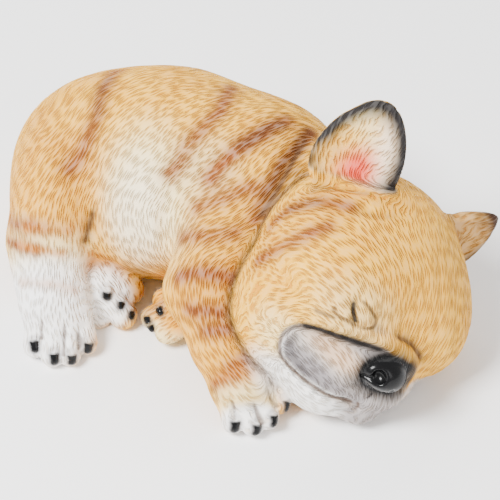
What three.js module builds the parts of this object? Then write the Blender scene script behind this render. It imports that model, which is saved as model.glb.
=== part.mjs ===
import * as THREE from 'three';

// Driving size, in millimetres
const statueLength = 200;      // over everything, from the rump to the far ear

// All other sizes are in two-hundredths of the statue's length, so the figure
// keeps its proportions. x runs along the dog, y away from its legs, z up.
const meshPitch = 1.7;         // spacing of the points at which the form is worked out
const searchPitch = 8;         // spacing of the points at which its bounds are looked for
const searchReach = 200;
const facetCount = 9400;       // triangles in the finished solid

// Head
const headAt = [45.5, -12.3, 42];
const headTurn = 12;           // degrees, muzzle turned to the dog's left
const headDip = 2.4;           // degrees, muzzle down
const headRoll = 37;           // degrees, head laid over on its left cheek
const noseAt = [50.2, 0.6, -5.6];
const noseRadii = [9.4, 10.6, 7.6];
const faceDepth = 2;           // deepest creases of the face
const foldDepth = 2;           // folds of loose skin on the body

// Ears
const earHeight = 38;
const earWidth = 41;
const earThickness = 4.4;
const farEarHeight = 25;
const farEarWidth = 36;
const farEarThickness = 4.6;
const earRim = 2.4;            // width left round the hollow of an ear

// Feet
const hindPaw = [33, 32, 25];  // length, width, height
const farHindPaw = [45, 30, 27];
const forePaw = [30, 30, 22];
const farForePaw = [30, 27, 23];
const toesNear = 4;
const toesFar = 3;             // the far feet show three each
const toeShare = 0.62;         // all the toes' radii as a share of the width of their paw
const clawRadius = 1.9;

// Vectors
const plus = (a, b, share = 1) => [a[0] + b[0] * share, a[1] + b[1] * share, a[2] + b[2] * share];
const minus = (a, b) => plus(a, b, -1);
const dot = (a, b) => a[0] * b[0] + a[1] * b[1] + a[2] * b[2];
const cross = (a, b) => [
  a[1] * b[2] - a[2] * b[1],
  a[2] * b[0] - a[0] * b[2],
  a[0] * b[1] - a[1] * b[0],
];
const unit = (a) => plus([0, 0, 0], a, 1 / Math.hypot(...a));
const mix = (axes, shares) => shares.reduce((sum, share, k) => plus(sum, axes[k], share), [0, 0, 0]);
const ease = (t) => {
  const s = Math.min(Math.max(t, 0), 1);
  return s * s * (3 - 2 * s);
};

// Axes of something that faces the viewer when turn is 0: ahead, to its right, above
function facing(turn, dip, roll) {
  const t = THREE.MathUtils.degToRad(turn);
  const d = THREE.MathUtils.degToRad(dip);
  const r = THREE.MathUtils.degToRad(roll);
  const ahead = [Math.sin(t) * Math.cos(d), -Math.cos(t) * Math.cos(d), -Math.sin(d)];
  const side = [-Math.cos(t), -Math.sin(t), 0];
  const above = cross(side, ahead);
  return [
    ahead,
    plus(plus([0, 0, 0], side, Math.cos(r)), above, Math.sin(r)),
    plus(plus([0, 0, 0], above, Math.cos(r)), side, -Math.sin(r)),
  ];
}

// Forms: each gives the distance of a point outside its skin, negative inside
function blend(a, b, softness) {
  const h = Math.max(softness - Math.abs(a - b), 0) / softness;
  return Math.min(a, b) - h * h * softness / 4;
}

function carve(a, b, softness) {
  const h = Math.max(softness - Math.abs(a + b), 0) / softness;
  return Math.max(a, -b) + h * h * softness / 4;
}

function egg([ax, ay, az], [rx, ry, rz]) {
  return (x, y, z) => {
    const qx = (x - ax) / rx;
    const qy = (y - ay) / ry;
    const qz = (z - az) / rz;
    const near = Math.sqrt(qx * qx + qy * qy + qz * qz);
    const slope = Math.sqrt((qx / rx) ** 2 + (qy / ry) ** 2 + (qz / rz) ** 2) + 1e-6;
    return near * (near - 1) / slope;
  };
}

function limb(a, b, startRadius, endRadius) {
  const [ex, ey, ez] = minus(b, a);
  const reach = ex * ex + ey * ey + ez * ez;
  return (x, y, z) => {
    const dx = x - a[0];
    const dy = y - a[1];
    const dz = z - a[2];
    const t = Math.min(Math.max((dx * ex + dy * ey + dz * ez) / reach, 0), 1);
    const away = Math.sqrt((dx - t * ex) ** 2 + (dy - t * ey) ** 2 + (dz - t * ez) ** 2);
    return away - (startRadius + (endRadius - startRadius) * t);
  };
}

function turned(at, axes, form) {
  const [ax, ay, az] = axes;
  return (x, y, z) => {
    const dx = x - at[0];
    const dy = y - at[1];
    const dz = z - at[2];
    return form(
      dx * ax[0] + dy * ax[1] + dz * ax[2],
      dx * ay[0] + dy * ay[1] + dz * ay[2],
      dx * az[0] + dy * az[1] + dz * az[2],
    );
  };
}

function mould(...steps) {
  return (x, y, z) => {
    let d = steps[0][0](x, y, z);
    for (let k = 1; k < steps.length; k += 1) d = blend(d, steps[k][0](x, y, z), steps[k][1]);
    return d;
  };
}

// A form that is only asked about near its own place
function nearby(centre, reach, form) {
  const limit = (reach + 12) ** 2;
  return (x, y, z) => {
    const away = (x - centre[0]) ** 2 + (y - centre[1]) ** 2 + (z - centre[2]) ** 2;
    return away < limit ? form(x, y, z) : 1e3;
  };
}

// Creases: shallow grooves along a line that lies on the skin, fading at their ends
function through(points, steps = 3) {
  const curve = new THREE.CatmullRomCurve3(points.map((point) => new THREE.Vector3(...point)));
  return curve.getPoints(steps * (points.length - 1)).map((point) => point.toArray());
}

function bow(start, bend, end, steps = 10) {
  const pull = plus(plus(plus([0, 0, 0], bend, 2), start, -0.5), end, -0.5);
  return Array.from({ length: steps + 1 }, (_, k) => {
    const t = k / steps;
    return mix([start, pull, end], [(1 - t) ** 2, 2 * t * (1 - t), t * t]);
  });
}

function settle(point, skin, passes = 6) {
  const reach = 0.5;
  let p = point;
  for (let pass = 0; pass < passes; pass += 1) {
    const [x, y, z] = p;
    const slope = unit([
      skin(x + reach, y, z) - skin(x - reach, y, z),
      skin(x, y + reach, z) - skin(x, y - reach, z),
      skin(x, y, z + reach) - skin(x, y, z - reach),
    ]);
    p = plus(p, slope, -skin(x, y, z));
  }
  return p;
}

function crease(skin, arc, width, depth, ends) {
  const line = arc.map((point) => settle(point, skin));
  const low = [0, 1, 2].map((k) => Math.min(...line.map((p) => p[k])) - 3 * width);
  const high = [0, 1, 2].map((k) => Math.max(...line.map((p) => p[k])) + 3 * width);
  const runs = line.slice(1).map((p, k) => minus(p, line[k]));
  return (x, y, z) => {
    if (x < low[0] || y < low[1] || z < low[2]) return 0;
    if (x > high[0] || y > high[1] || z > high[2]) return 0;
    let most = 0;
    runs.forEach((run, k) => {
      const dx = x - line[k][0];
      const dy = y - line[k][1];
      const dz = z - line[k][2];
      const along = (dx * run[0] + dy * run[1] + dz * run[2]) / dot(run, run);
      const t = Math.min(Math.max(along, 0), 1);
      const away = (dx - t * run[0]) ** 2 + (dy - t * run[1]) ** 2 + (dz - t * run[2]) ** 2;
      const share = (k + t) / runs.length;
      const strength = ease(share / ends[0]) * ease((1 - share) / ends[1]);
      most = Math.max(most, strength * Math.exp(-away / (width * width)));
    });
    return depth * most;
  };
}

function creased(form, creases) {
  return (x, y, z) => {
    const d = form(x, y, z);
    if (Math.abs(d) > 8) return d;
    return creases.reduce((sum, groove) => sum + groove(x, y, z), d);
  };
}

// Head, in its own frame: ahead, to the dog's right, above
function headForm() {
  const mass = mould(
    [egg([-2, 0, 0], [41, 45, 38.5]), 0],                    // skull
    [egg([16, 21, -2], [27, 24, 24]), 12],                   // right cheek
    [egg([16, -22, -2], [27.5, 24.5, 24.5]), 12],            // left cheek
    [egg([10, 22, -26], [27, 24, 24]), 10],                  // right jowl
    [egg([6, -14, -20], [26, 22, 24]), 10],                  // left jowl
    [egg([25, 4, -32], [25, 21, 19]), 8],                    // jaw
    [egg([43, 0, -5], [12, 17, 12]), 6],                     // bridge of the nose
    [limb([36.5, 9, -13], [25, 26, -13], 17, 15), 5],        // right flew
    [limb([33, 8, -27], [22, 25, -25], 15.5, 14.5), 6],      // lower lip
    [limb([41, -8, -18], [34, -18, -21], 14.5, 13), 5],      // left flew
    [egg([42, -8.5, -30.5], [11.5, 11, 10]), 4],             // lip resting on the ground
  );
  const groove = (points, width, share, ends) => (
    crease(mass, through(points), width, faceDepth * share, ends)
  );
  const face = creased(mass, [
    // top of the flew
    groove([[37, 37, -10], [38.5, 34, -7.4], [41, 29, -4.5], [44.6, 20, -1.7], [48.5, 11.7, 2.3],
      [50.3, 6, 3.4]], 1.4, 1, [0.12, 0.25]),
    // mouth
    groove([[38.2, 35, -8], [36.4, 37.8, -12.5], [35, 37.8, -18.2], [34.9, 35, -23.8], [35.9, 31.3, -27.7],
      [38.7, 27.4, -29.1], [41.9, 22, -29.4], [45.8, 16.1, -28.4], [47.8, 9.5, -27.7], [49.4, -1.8, -25.5]],
      1.4, 0.9, [0.12, 0.1]),
    // inner edge of the lip
    groove([[38.5, 33.5, -11], [37.6, 35, -15.5], [38, 33.4, -20.5], [39, 30.2, -23.6], [41.5, 25.6, -25.3],
      [44.6, 19.5, -25.2], [47.4, 11, -24]], 1.5, 0.4, [0.2, 0.4]),
    // over the nose, under it, and down the lip
    groove([[43.1, 5, 6.3], [42.9, 0, 6], [42.7, -6.6, 4.9], [43.3, -12.4, 2.3], [42.5, -20, -2]],
      1.9, 1.3, [0.5, 0.3]),
    groove([[53, -1, -15], [52, -2, -18], [50, -2.5, -23]], 1.3, 0.5, [0.3, 0.3]),
    groove([[49, -2, -22.5], [50.7, -3.4, -26.5], [50.8, -3, -31]], 1.4, 0.8, [0.3, 0.3]),
    // slit of the shut eye, the edges of both lids, and their swell
    groove([[36.7, 26.6, 12.3], [38.1, 25.4, 9.8], [39.6, 24.2, 7.6], [40.8, 22.2, 5.8], [42.3, 20.6, 4.6]],
      1, 1.2, [0.3, 0.3]),
    groove([[36.6, 26.8, 13.5], [38.6, 20.2, 12.4], [40.3, 14.6, 9.8], [41.8, 12.7, 6.2], [42.6, 19, 4.6]],
      1.1, 0.5, [0.1, 0.1]),
    groove([[38.2, 32.3, 6.6], [40.1, 30.1, 4.3], [42, 25, 4.6], [42.7, 17.6, 3.2]], 1.1, 0.6, [0.15, 0.3]),
    groove([[39.6, 19.5, 9.5], [40.8, 17.5, 7.5]], 4, -0.65, [0.01, 0.01]),
    groove([[38.8, 29.6, 7.8], [40.2, 27, 6.6]], 2.8, -0.5, [0.01, 0.01]),
    // skin under the eye
    groove([[35.5, 37.6, -0.5], [38.8, 32.6, 1.4], [41.3, 27.1, 2.6]], 1.3, 0.5, [0.3, 0.5]),
    groove([[42, 12.2, 5.8], [42.6, 8.6, 6.4], [43.3, 5.1, 7]], 1.7, 0.45, [0.2, 0.5]),
    // brow, and the roll of skin in front of the near ear
    groove([[4, 29.5, 28], [6, 27.5, 29.8], [8.5, 20.8, 32.7], [7.6, 14, 35], [6.8, 7.5, 37.1]],
      2, 0.45, [0.4, 0.4]),
    groove([[-8, 40, 15], [-6, 37, 21], [-2, 31.5, 28], [2, 26, 32], [3, 17.5, 36]], 3, -0.5, [0.3, 0.3]),
    groove([[-13, 40, 14], [-11, 38, 20], [-7, 32, 28], [-4, 26.5, 32], [-3, 17, 36.5]],
      1.6, 0.6, [0.2, 0.2]),
  ]);
  const nose = egg(noseAt, noseRadii);
  const hollows = [
    egg([58, 6.3, -4.4], [4.4, 3, 3.2]),
    egg([61.5, -2.6, -7.6], [3.4, 1.7, 1.7]),
    limb([57.5, 7.2, -6.2], [53.2, 9.8, -9], 1.7, 0.8),
  ];
  return (x, y, z) => hollows.reduce(
    (d, hollow) => carve(d, hollow(x, y, z), 0.8),
    blend(face(x, y, z), nose(x, y, z), 0.5),
  );
}

// Ear, in its own frame: across, from base to tip, out of the hollow
function earForm(height, width, thick, taper, lean, hollowDepth) {
  const shell = egg([0, 0, 0], [width / 2, height * 0.64, thick]);
  const hollow = egg([0, -2, thick], [width / 2 - earRim, height * 0.58, thick * hollowDepth]);
  return (x, y, z) => {
    const t = Math.min(Math.max(y / height, -0.3), 1.2);
    const across = (x - lean * t * Math.abs(t)) / (1 - taper * t);
    const along = y - 0.38 * height;
    const out = z + 0.006 * x * x;
    return carve(shell(across, along, out), hollow(across, along, out), 1.5);
  };
}

function placedEar(onHead, alongMix, outMix, height, form) {
  const axes = facing(headTurn, headDip, headRoll);
  const base = plus(headAt, mix(axes, onHead));
  const along = unit(mix(axes, alongMix));
  const rough = mix(axes, outMix);
  const out = unit(plus(rough, along, -dot(rough, along)));
  const ear = turned(base, [cross(along, out), along, out], form);
  return nearby(plus(base, along, height / 2), height, ear);
}

// Paw with its toes, in its own frame: ahead, side, above
function pawForm([length, width, height], toes) {
  const toe = width * toeShare / toes;
  const middle = (toes - 1) / 2;
  const low = -height * 0.16;
  const steps = [[egg([-length * 0.14, 0, 0], [length * 0.48, width * 0.44, height * 0.44]), 0]];
  for (let k = 0; k < toes; k += 1) {
    const share = (k - middle) / middle;
    const side = share * (width * 0.5 - toe * 1.05);
    const tip = length * (0.42 - 0.17 * share * share);
    const knuckle = [tip - length * 0.55, side * 0.66, height * 0.2];
    steps.push([limb(knuckle, [tip, side, low], toe * 1.15, toe), 1.2]);
  }
  return mould(...steps);
}

function placedPaw(at, axes, sizes, toes) {
  return nearby(at, sizes[0] * 0.75, turned(at, axes, pawForm(sizes, toes)));
}

// Claws, each set into the end of a toe from its root to its tip
function clawForms() {
  const places = [
    [[-89.3, -23.5, 9.5], [-89, -25.4, 7.8]],                // right hind foot
    [[-80.9, -28.7, 7.8], [-80.8, -30.2, 5.6]],
    [[-73.7, -28.6, 7.3], [-73.8, -29.7, 4.8]],
    [[-67, -22.9, 8.4], [-67.4, -24.2, 6]],
    [[-5.9, -65.3, 8.1], [-6.2, -66.7, 6]],                  // right forefoot
    [[2.7, -66.6, 7.9], [2.4, -67.9, 5.6]],
    [[9.3, -63, 8.8], [9.3, -64.6, 6.9]],
    [[14.5, -55.3, 10.3], [14.2, -57.2, 7.5]],
    [[-37.8, -9.7, 15.8], [-37.1, -11.8, 15.5]],             // left forefoot
    [[-42.6, -10.3, 11.5], [-42.4, -11.7, 10.2]],
    [[-41.8, -12.5, 8.6], [-41, -13.6, 7.2]],
    [[-59.6, -1.9, 18.2], [-60, -3.7, 16.2]],                // left hind foot
    [[-54.1, -2.4, 12.9], [-54.3, -5.3, 11.6]],
    [[-50.2, -5.4, 9.7], [-50.3, -7.6, 8.5]],
  ];
  return places.map(([root, tip]) => [
    nearby(root, clawRadius * 2, limb(root, tip, clawRadius, clawRadius * 0.85)), 0.4,
  ]);
}

// The whole dog
function dogForm() {
  const mass = mould(
    [egg([-64, 54, 35], [38.5, 42, 39]), 0],                 // rump
    [egg([-32, 48, 39], [46, 48, 44]), 20],                  // belly and flank
    [egg([6, 34, 41], [37, 37, 41]), 20],                    // chest
    [limb([13, 20, 40], [34, 0, 42], 32, 31), 12],           // neck
    [egg([-81, 36, 38], [21, 37, 31]), 5],                   // right thigh
    [limb([-85, 16, 28], [-83, -4, 17], 18, 14.5), 6],       // right hind leg
    [limb([-6, 14, 49], [-19, -18, 35], 22, 15.5), 5],       // right shoulder
    [limb([-19, -18, 35], [-10.5, -37, 22], 15.5, 13), 5],   // right foreleg
    [limb([-10.5, -37, 22], [-3, -50, 13], 13, 12), 4],      // right wrist
  );
  const fold = (start, bend, end, width, share, ends) => (
    crease(mass, bow(start, bend, end), width, foldDepth * share, ends)
  );
  const body = creased(mass, [
    fold([-64, 34, 75], [-64, 18, 64], [-66, 9, 48], 4, 1, [0.6, 0.3]),               // thigh
    fold([-64, 13, 56], [-66, 8, 46], [-68, 6, 36], 2.2, 1, [0.5, 0.1]),
    fold([-26, 14, 71], [-34, 6, 60], [-33.7, -1, 40], 2.6, 0.9, [0.5, 0.1]),         // armpit
    fold([26, 36, 75], [15, 10, 75], [2, -6, 61], 2.8, 1.2, [0.2, 0.1]),              // neck
    fold([-30, -14, 49], [-19, -10, 53], [-6, -10, 50], 2.2, 0.4, [0.4, 0.4]),        // upper foreleg
    fold([-99, 0, 40], [-90, -8, 40], [-74, -4, 40], 2, 0.4, [0.3, 0.5]),             // hock
    fold([-99, 0, 33], [-90, -10, 32], [-76, -8, 33], 2, 0.35, [0.3, 0.5]),
  ]);
  const parts = [
    [nearby([-90, 84, 27], 18, limb([-86, 83, 34], [-93, 84, 20], 7, 4.5)), 4],       // tail
    [placedPaw([-79.5, -14, 11], facing(5, 10, 0), hindPaw, toesNear), 5],
    [placedPaw([-65, 9.5, 12.5], facing(33, 8, -25), farHindPaw, toesFar), 3],
    [placedPaw([-1, -53, 11], facing(25, 8, -6), forePaw, toesNear), 4],
    [placedPaw([-28, -8, 13], facing(-85, 5, 12), farForePaw, toesFar), 3],
    ...clawForms(),
    [nearby(headAt, 62, turned(headAt, facing(headTurn, headDip, headRoll), headForm())), 2.2],
    [placedEar([-9, 28, 28], [-0.3, 0.27, 0.97], [0.91, 0.36, 0], earHeight,
      earForm(earHeight, earWidth, earThickness, 0.3, 2.5, 1.25)), 3],
    [placedEar([-7, -32, 20], [-0.25, -0.6, 0.78], [0.91, -0.3, 0.45], farEarHeight,
      earForm(farEarHeight, farEarWidth, farEarThickness, 0.62, 0, 0.9)), 3],
  ];
  return (x, y, z) => Math.max(
    parts.reduce((d, [form, softness]) => blend(d, form(x, y, z), softness), body(x, y, z)),
    -z,
  );
}

// Skin of a form as a closed mesh: each cube of the grid is split in six tetrahedra
function skinOf(form, low, high, pitch) {
  const count = [0, 1, 2].map((k) => Math.ceil((high[k] - low[k]) / pitch) + 1);
  const [nx, ny, nz] = count;
  const values = new Float32Array(nx * ny * nz);
  for (let k = 0, n = 0; k < nz; k += 1) {
    for (let j = 0; j < ny; j += 1) {
      for (let i = 0; i < nx; i += 1, n += 1) {
        const d = form(low[0] + i * pitch, low[1] + j * pitch, low[2] + k * pitch);
        values[n] = Math.abs(d) < 1e-3 ? 1e-3 : d;
      }
    }
  }
  const hop = (corner) => (corner & 1) + ((corner >> 1) & 1) * nx + ((corner >> 2) & 1) * nx * ny;
  const positions = [];
  const found = new Map();
  const pointOn = (cell, a, b) => {
    const from = a < b ? a : b;
    const start = cell + hop(from);
    const stop = cell + hop(a ^ b ^ from);
    const key = start * 8 + (a ^ b);
    if (!found.has(key)) {
      found.set(key, positions.length / 3);
      const t = values[start] / (values[start] - values[stop]);
      [start, stop].forEach((n, end) => {
        const share = end ? t : 1 - t;
        const at = [n % nx, Math.floor(n / nx) % ny, Math.floor(n / (nx * ny))];
        at.forEach((steps, k) => {
          if (end) positions[positions.length - 3 + k] += share * (low[k] + steps * pitch);
          else positions.push(share * (low[k] + steps * pitch));
        });
      });
    }
    return found.get(key);
  };
  const paths = [[1, 3], [3, 2], [2, 6], [6, 4], [4, 5], [5, 1]];
  const orders = {
    1: [0, 1, 2, 3], 2: [1, 0, 3, 2], 4: [2, 0, 1, 3], 8: [3, 0, 2, 1],
    3: [0, 1, 2, 3], 5: [0, 2, 3, 1], 9: [0, 3, 1, 2], 6: [1, 2, 0, 3], 10: [1, 3, 2, 0], 12: [2, 3, 0, 1],
  };
  const triangles = [];
  for (let k = 0; k < nz - 1; k += 1) {
    for (let j = 0; j < ny - 1; j += 1) {
      for (let i = 0; i < nx - 1; i += 1) {
        const cell = i + j * nx + k * nx * ny;
        let inside = 0;
        for (let c = 0; c < 8; c += 1) inside += values[cell + hop(c)] < 0 ? 1 : 0;
        if (inside === 0 || inside === 8) continue;
        paths.forEach(([a, b]) => {
          const corners = [0, a, b, 7];
          let mask = 0;
          corners.forEach((c, n) => { mask += values[cell + hop(c)] < 0 ? 1 << n : 0; });
          if (mask === 0 || mask === 15) return;
          const single = orders[mask] && (mask & (mask - 1)) === 0;
          const lone = orders[15 - mask] && ((15 - mask) & (14 - mask)) === 0;
          const order = (lone ? orders[15 - mask] : orders[mask]).map((n) => corners[n]);
          const [p, q, r, s] = order;
          if (single || lone) {
            const fan = [pointOn(cell, p, q), pointOn(cell, p, r), pointOn(cell, p, s)];
            triangles.push(lone ? [fan[0], fan[2], fan[1]] : fan);
          } else {
            const ring = [[p, r], [p, s], [q, s], [q, r]].map(([m, n]) => pointOn(cell, m, n));
            triangles.push([ring[0], ring[1], ring[2]], [ring[0], ring[2], ring[3]]);
          }
        });
      }
    }
  }
  return { positions, triangles };
}

// Fewer triangles: the edges whose loss changes the surface least are closed up first
class Queue {
  constructor() { this.items = []; }

  push(item) {
    const list = this.items;
    let n = list.push(item) - 1;
    while (n > 0) {
      const parent = (n - 1) >> 1;
      if (list[parent].cost <= item.cost) break;
      list[n] = list[parent];
      n = parent;
    }
    list[n] = item;
  }

  pop() {
    const list = this.items;
    const top = list[0];
    const last = list.pop();
    if (!list.length) return top;
    let n = 0;
    for (;;) {
      let child = 2 * n + 1;
      if (child >= list.length) break;
      if (child + 1 < list.length && list[child + 1].cost < list[child].cost) child += 1;
      if (list[child].cost >= last.cost) break;
      list[n] = list[child];
      n = child;
    }
    list[n] = last;
    return top;
  }
}

function thinned({ positions, triangles }, wanted, shortEdge) {
  const place = [];
  for (let n = 0; n < positions.length; n += 3) place.push(positions.slice(n, n + 3));
  const around = place.map(() => new Set());
  const errors = place.map(() => new Float64Array(10));
  const stamp = new Int32Array(place.length);
  const alive = new Uint8Array(triangles.length).fill(1);
  const normalOf = ([a, b, c]) => cross(minus(b, a), minus(c, a));
  triangles.forEach((triangle, n) => {
    const normal = normalOf(triangle.map((v) => place[v]));
    const size = Math.hypot(...normal);
    triangle.forEach((v) => around[v].add(n));
    if (size < 1e-9) return;
    const [a, b, c] = unit(normal);
    const d = -dot([a, b, c], place[triangle[0]]);
    const terms = [a * a, a * b, a * c, a * d, b * b, b * c, b * d, c * c, c * d, d * d];
    triangle.forEach((v) => terms.forEach((term, k) => { errors[v][k] += term * size; }));
  });
  const q = new Float64Array(10);
  const costAt = ([x, y, z]) => (
    q[0] * x * x + 2 * q[1] * x * y + 2 * q[2] * x * z + 2 * q[3] * x
    + q[4] * y * y + 2 * q[5] * y * z + 2 * q[6] * y + q[7] * z * z + 2 * q[8] * z + q[9]
  );
  const bestPlace = (a, b, span) => {
    const middle = [(a[0] + b[0]) / 2, (a[1] + b[1]) / 2, (a[2] + b[2]) / 2];
    const first = q[4] * q[7] - q[5] * q[5];
    const second = q[2] * q[5] - q[1] * q[7];
    const third = q[1] * q[5] - q[2] * q[4];
    const size = q[0] * first + q[1] * second + q[2] * third;
    if (Math.abs(size) > 1e-6 * (q[0] + q[4] + q[7]) ** 3) {
      const fourth = q[0] * q[7] - q[2] * q[2];
      const fifth = q[1] * q[2] - q[0] * q[5];
      const sixth = q[0] * q[4] - q[1] * q[1];
      const point = [
        -(first * q[3] + second * q[6] + third * q[8]) / size,
        -(second * q[3] + fourth * q[6] + fifth * q[8]) / size,
        -(third * q[3] + fifth * q[6] + sixth * q[8]) / size,
      ];
      const off = minus(point, middle);
      if (dot(off, off) < 4 * span) return { cost: Math.max(costAt(point), 0), point };
    }
    let cost = costAt(middle);
    let point = middle;
    for (const end of [a, b]) {
      const other = costAt(end);
      if (other < cost) {
        cost = other;
        point = end;
      }
    }
    return { cost: Math.max(cost, 0), point };
  };
  let queue = new Queue();
  let shortest = 0;
  const offer = (a, b) => {
    for (let k = 0; k < 10; k += 1) q[k] = errors[a][k] + errors[b][k];
    const side = minus(place[a], place[b]);
    const span = dot(side, side);
    const { cost, point } = bestPlace(place[a], place[b], span);
    if (shortest ? span < shortest * shortest : true) {
      queue.push({ cost: shortest ? span : cost + 1e-4 * span, a, b, point, from: stamp[a], to: stamp[b] });
    }
  };
  const neighbours = (v) => {
    const found = new Set();
    around[v].forEach((n) => triangles[n].forEach((w) => { if (w !== v) found.add(w); }));
    return found;
  };
  const shapeOf = (corners) => {
    const normal = normalOf(corners);
    const size = Math.sqrt(dot(normal, normal));
    const spans = corners.reduce((sum, p, k) => {
      const span = minus(p, corners[(k + 1) % 3]);
      return sum + dot(span, span);
    }, 0);
    return { normal, size, fullness: size / (spans + 1e-12) };
  };
  const folds = (v, other, point) => {
    for (const n of around[v]) {
      const triangle = triangles[n];
      if (triangle.includes(other)) continue;
      const before = shapeOf(triangle.map((w) => place[w]));
      const after = shapeOf(triangle.map((w) => (w === v ? point : place[w])));
      const turn = dot(before.normal, after.normal);
      if (shortest) {
        if (before.fullness > 0.05 && turn < 0.2 * after.size * before.size) return true;
      } else if (turn < 0.4 * after.size * before.size || after.fullness < 0.07) return true;
    }
    return false;
  };
  const closeUp = (a, b, point) => {
    const beside = neighbours(b);
    if (!beside.has(a)) return 0;
    const shared = [...neighbours(a)].filter((v) => beside.has(v));
    if (shared.length !== 2 || shared.some((v) => around[v].size < 4)) return 0;
    if (folds(a, b, point) || folds(b, a, point)) return 0;
    let lost = 0;
    for (const n of [...around[b]]) {
      if (triangles[n].includes(a)) {
        triangles[n].forEach((v) => around[v].delete(n));
        alive[n] = 0;
        lost += 1;
      } else {
        triangles[n] = triangles[n].map((v) => (v === b ? a : v));
        around[a].add(n);
      }
    }
    around[b].clear();
    place[a] = point;
    for (let k = 0; k < 10; k += 1) errors[a][k] += errors[b][k];
    stamp[a] += 1;
    neighbours(a).forEach((v) => offer(a, v));
    return lost;
  };
  let left = triangles.length;
  for (let pass = 0; pass < 8 && left > wanted; pass += 1) {
    shortest = pass < 2 ? shortEdge : 0;
    queue = new Queue();
    triangles.forEach((triangle, n) => triangle.forEach((a, k) => {
      const b = triangle[(k + 1) % 3];
      if (alive[n] && a < b) offer(a, b);
    }));
    while (left > wanted && queue.items.length) {
      const { a, b, point, from, to } = queue.pop();
      const known = from === stamp[a] && to === stamp[b];
      if (known && around[a].size && around[b].size) left -= closeUp(a, b, point);
    }
  }
  return { place, triangles: triangles.filter((_, n) => alive[n]) };
}

// The largest connected piece of a mesh
function largestPiece({ place, triangles }) {
  const group = place.map((_, n) => n);
  const rootOf = (n) => {
    let v = n;
    while (group[v] !== v) {
      group[v] = group[group[v]];
      v = group[v];
    }
    return v;
  };
  triangles.forEach(([a, b, c]) => {
    group[rootOf(b)] = rootOf(a);
    group[rootOf(c)] = rootOf(a);
  });
  const sizes = new Map();
  triangles.forEach(([a]) => sizes.set(rootOf(a), (sizes.get(rootOf(a)) || 0) + 1));
  const most = [...sizes].sort((p, q) => q[1] - p[1])[0][0];
  return { place, triangles: triangles.filter(([a]) => rootOf(a) === most) };
}

// The space that a form takes up, found on a wide grid first
function spaceOf(form, reach, pitch) {
  const low = [reach, reach, reach];
  const high = [-reach, -reach, -reach];
  for (let z = -pitch; z < reach; z += pitch) {
    for (let y = -reach; y < reach; y += pitch) {
      for (let x = -reach; x < reach; x += pitch) {
        if (form(x, y, z) < pitch) {
          [x, y, z].forEach((value, k) => {
            low[k] = Math.min(low[k], value - pitch);
            high[k] = Math.max(high[k], value + pitch);
          });
        }
      }
    }
  }
  return { low, high };
}

function dogGeometry() {
  const form = dogForm();
  const { low, high } = spaceOf(form, searchReach, searchPitch);
  low[2] = -meshPitch * 1.5;
  const fine = skinOf(form, low, high, meshPitch);
  const { place, triangles } = largestPiece(thinned(fine, facetCount, meshPitch * 0.45));
  const order = new Map();
  const points = [];
  triangles.flat().forEach((v) => {
    if (!order.has(v)) {
      order.set(v, points.length / 3);
      const level = Math.abs(place[v][2]) < 0.05;
      points.push(...(level ? [place[v][0], place[v][1], 0] : settle(place[v], form, 2)));
    }
  });
  const geometry = new THREE.BufferGeometry();
  geometry.setAttribute('position', new THREE.Float32BufferAttribute(points, 3));
  geometry.setIndex(triangles.flat().map((v) => order.get(v)));
  geometry.computeBoundingBox();
  const { min, max } = geometry.boundingBox;
  const scale = statueLength / (max.x - min.x);
  geometry.translate(-(min.x + max.x) / 2, -(min.y + max.y) / 2, -min.z);
  geometry.scale(scale, scale, scale);
  geometry.computeVertexNormals();
  return geometry;
}

const statue = new THREE.Group();
statue.name = 'french_bulldog_statue';
const castResin = new THREE.MeshStandardMaterial({ color: 0xd9ae74, roughness: 0.6, metalness: 0 });
const dog = new THREE.Mesh(dogGeometry(), castResin);
dog.name = 'sleeping_dog';
statue.add(dog);

export default statue;
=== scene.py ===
import math
import bpy
import numpy as np
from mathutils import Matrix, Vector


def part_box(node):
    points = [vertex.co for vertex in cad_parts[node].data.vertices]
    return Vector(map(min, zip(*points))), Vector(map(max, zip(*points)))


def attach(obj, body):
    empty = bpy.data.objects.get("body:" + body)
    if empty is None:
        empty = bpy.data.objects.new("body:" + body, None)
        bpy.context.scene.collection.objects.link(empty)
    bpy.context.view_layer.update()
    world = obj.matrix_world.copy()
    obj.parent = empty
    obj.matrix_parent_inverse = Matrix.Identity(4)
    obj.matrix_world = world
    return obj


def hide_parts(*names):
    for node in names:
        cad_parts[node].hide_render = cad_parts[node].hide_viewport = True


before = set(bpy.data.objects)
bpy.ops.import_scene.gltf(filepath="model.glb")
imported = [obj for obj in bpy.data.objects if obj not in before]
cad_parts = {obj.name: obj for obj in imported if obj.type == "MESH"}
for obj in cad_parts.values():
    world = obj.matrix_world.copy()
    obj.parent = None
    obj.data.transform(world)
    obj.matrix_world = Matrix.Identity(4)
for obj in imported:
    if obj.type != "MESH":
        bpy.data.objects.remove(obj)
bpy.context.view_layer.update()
boxLow, boxHigh = (np.array(v, float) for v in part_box("sleeping_dog"))

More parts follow.
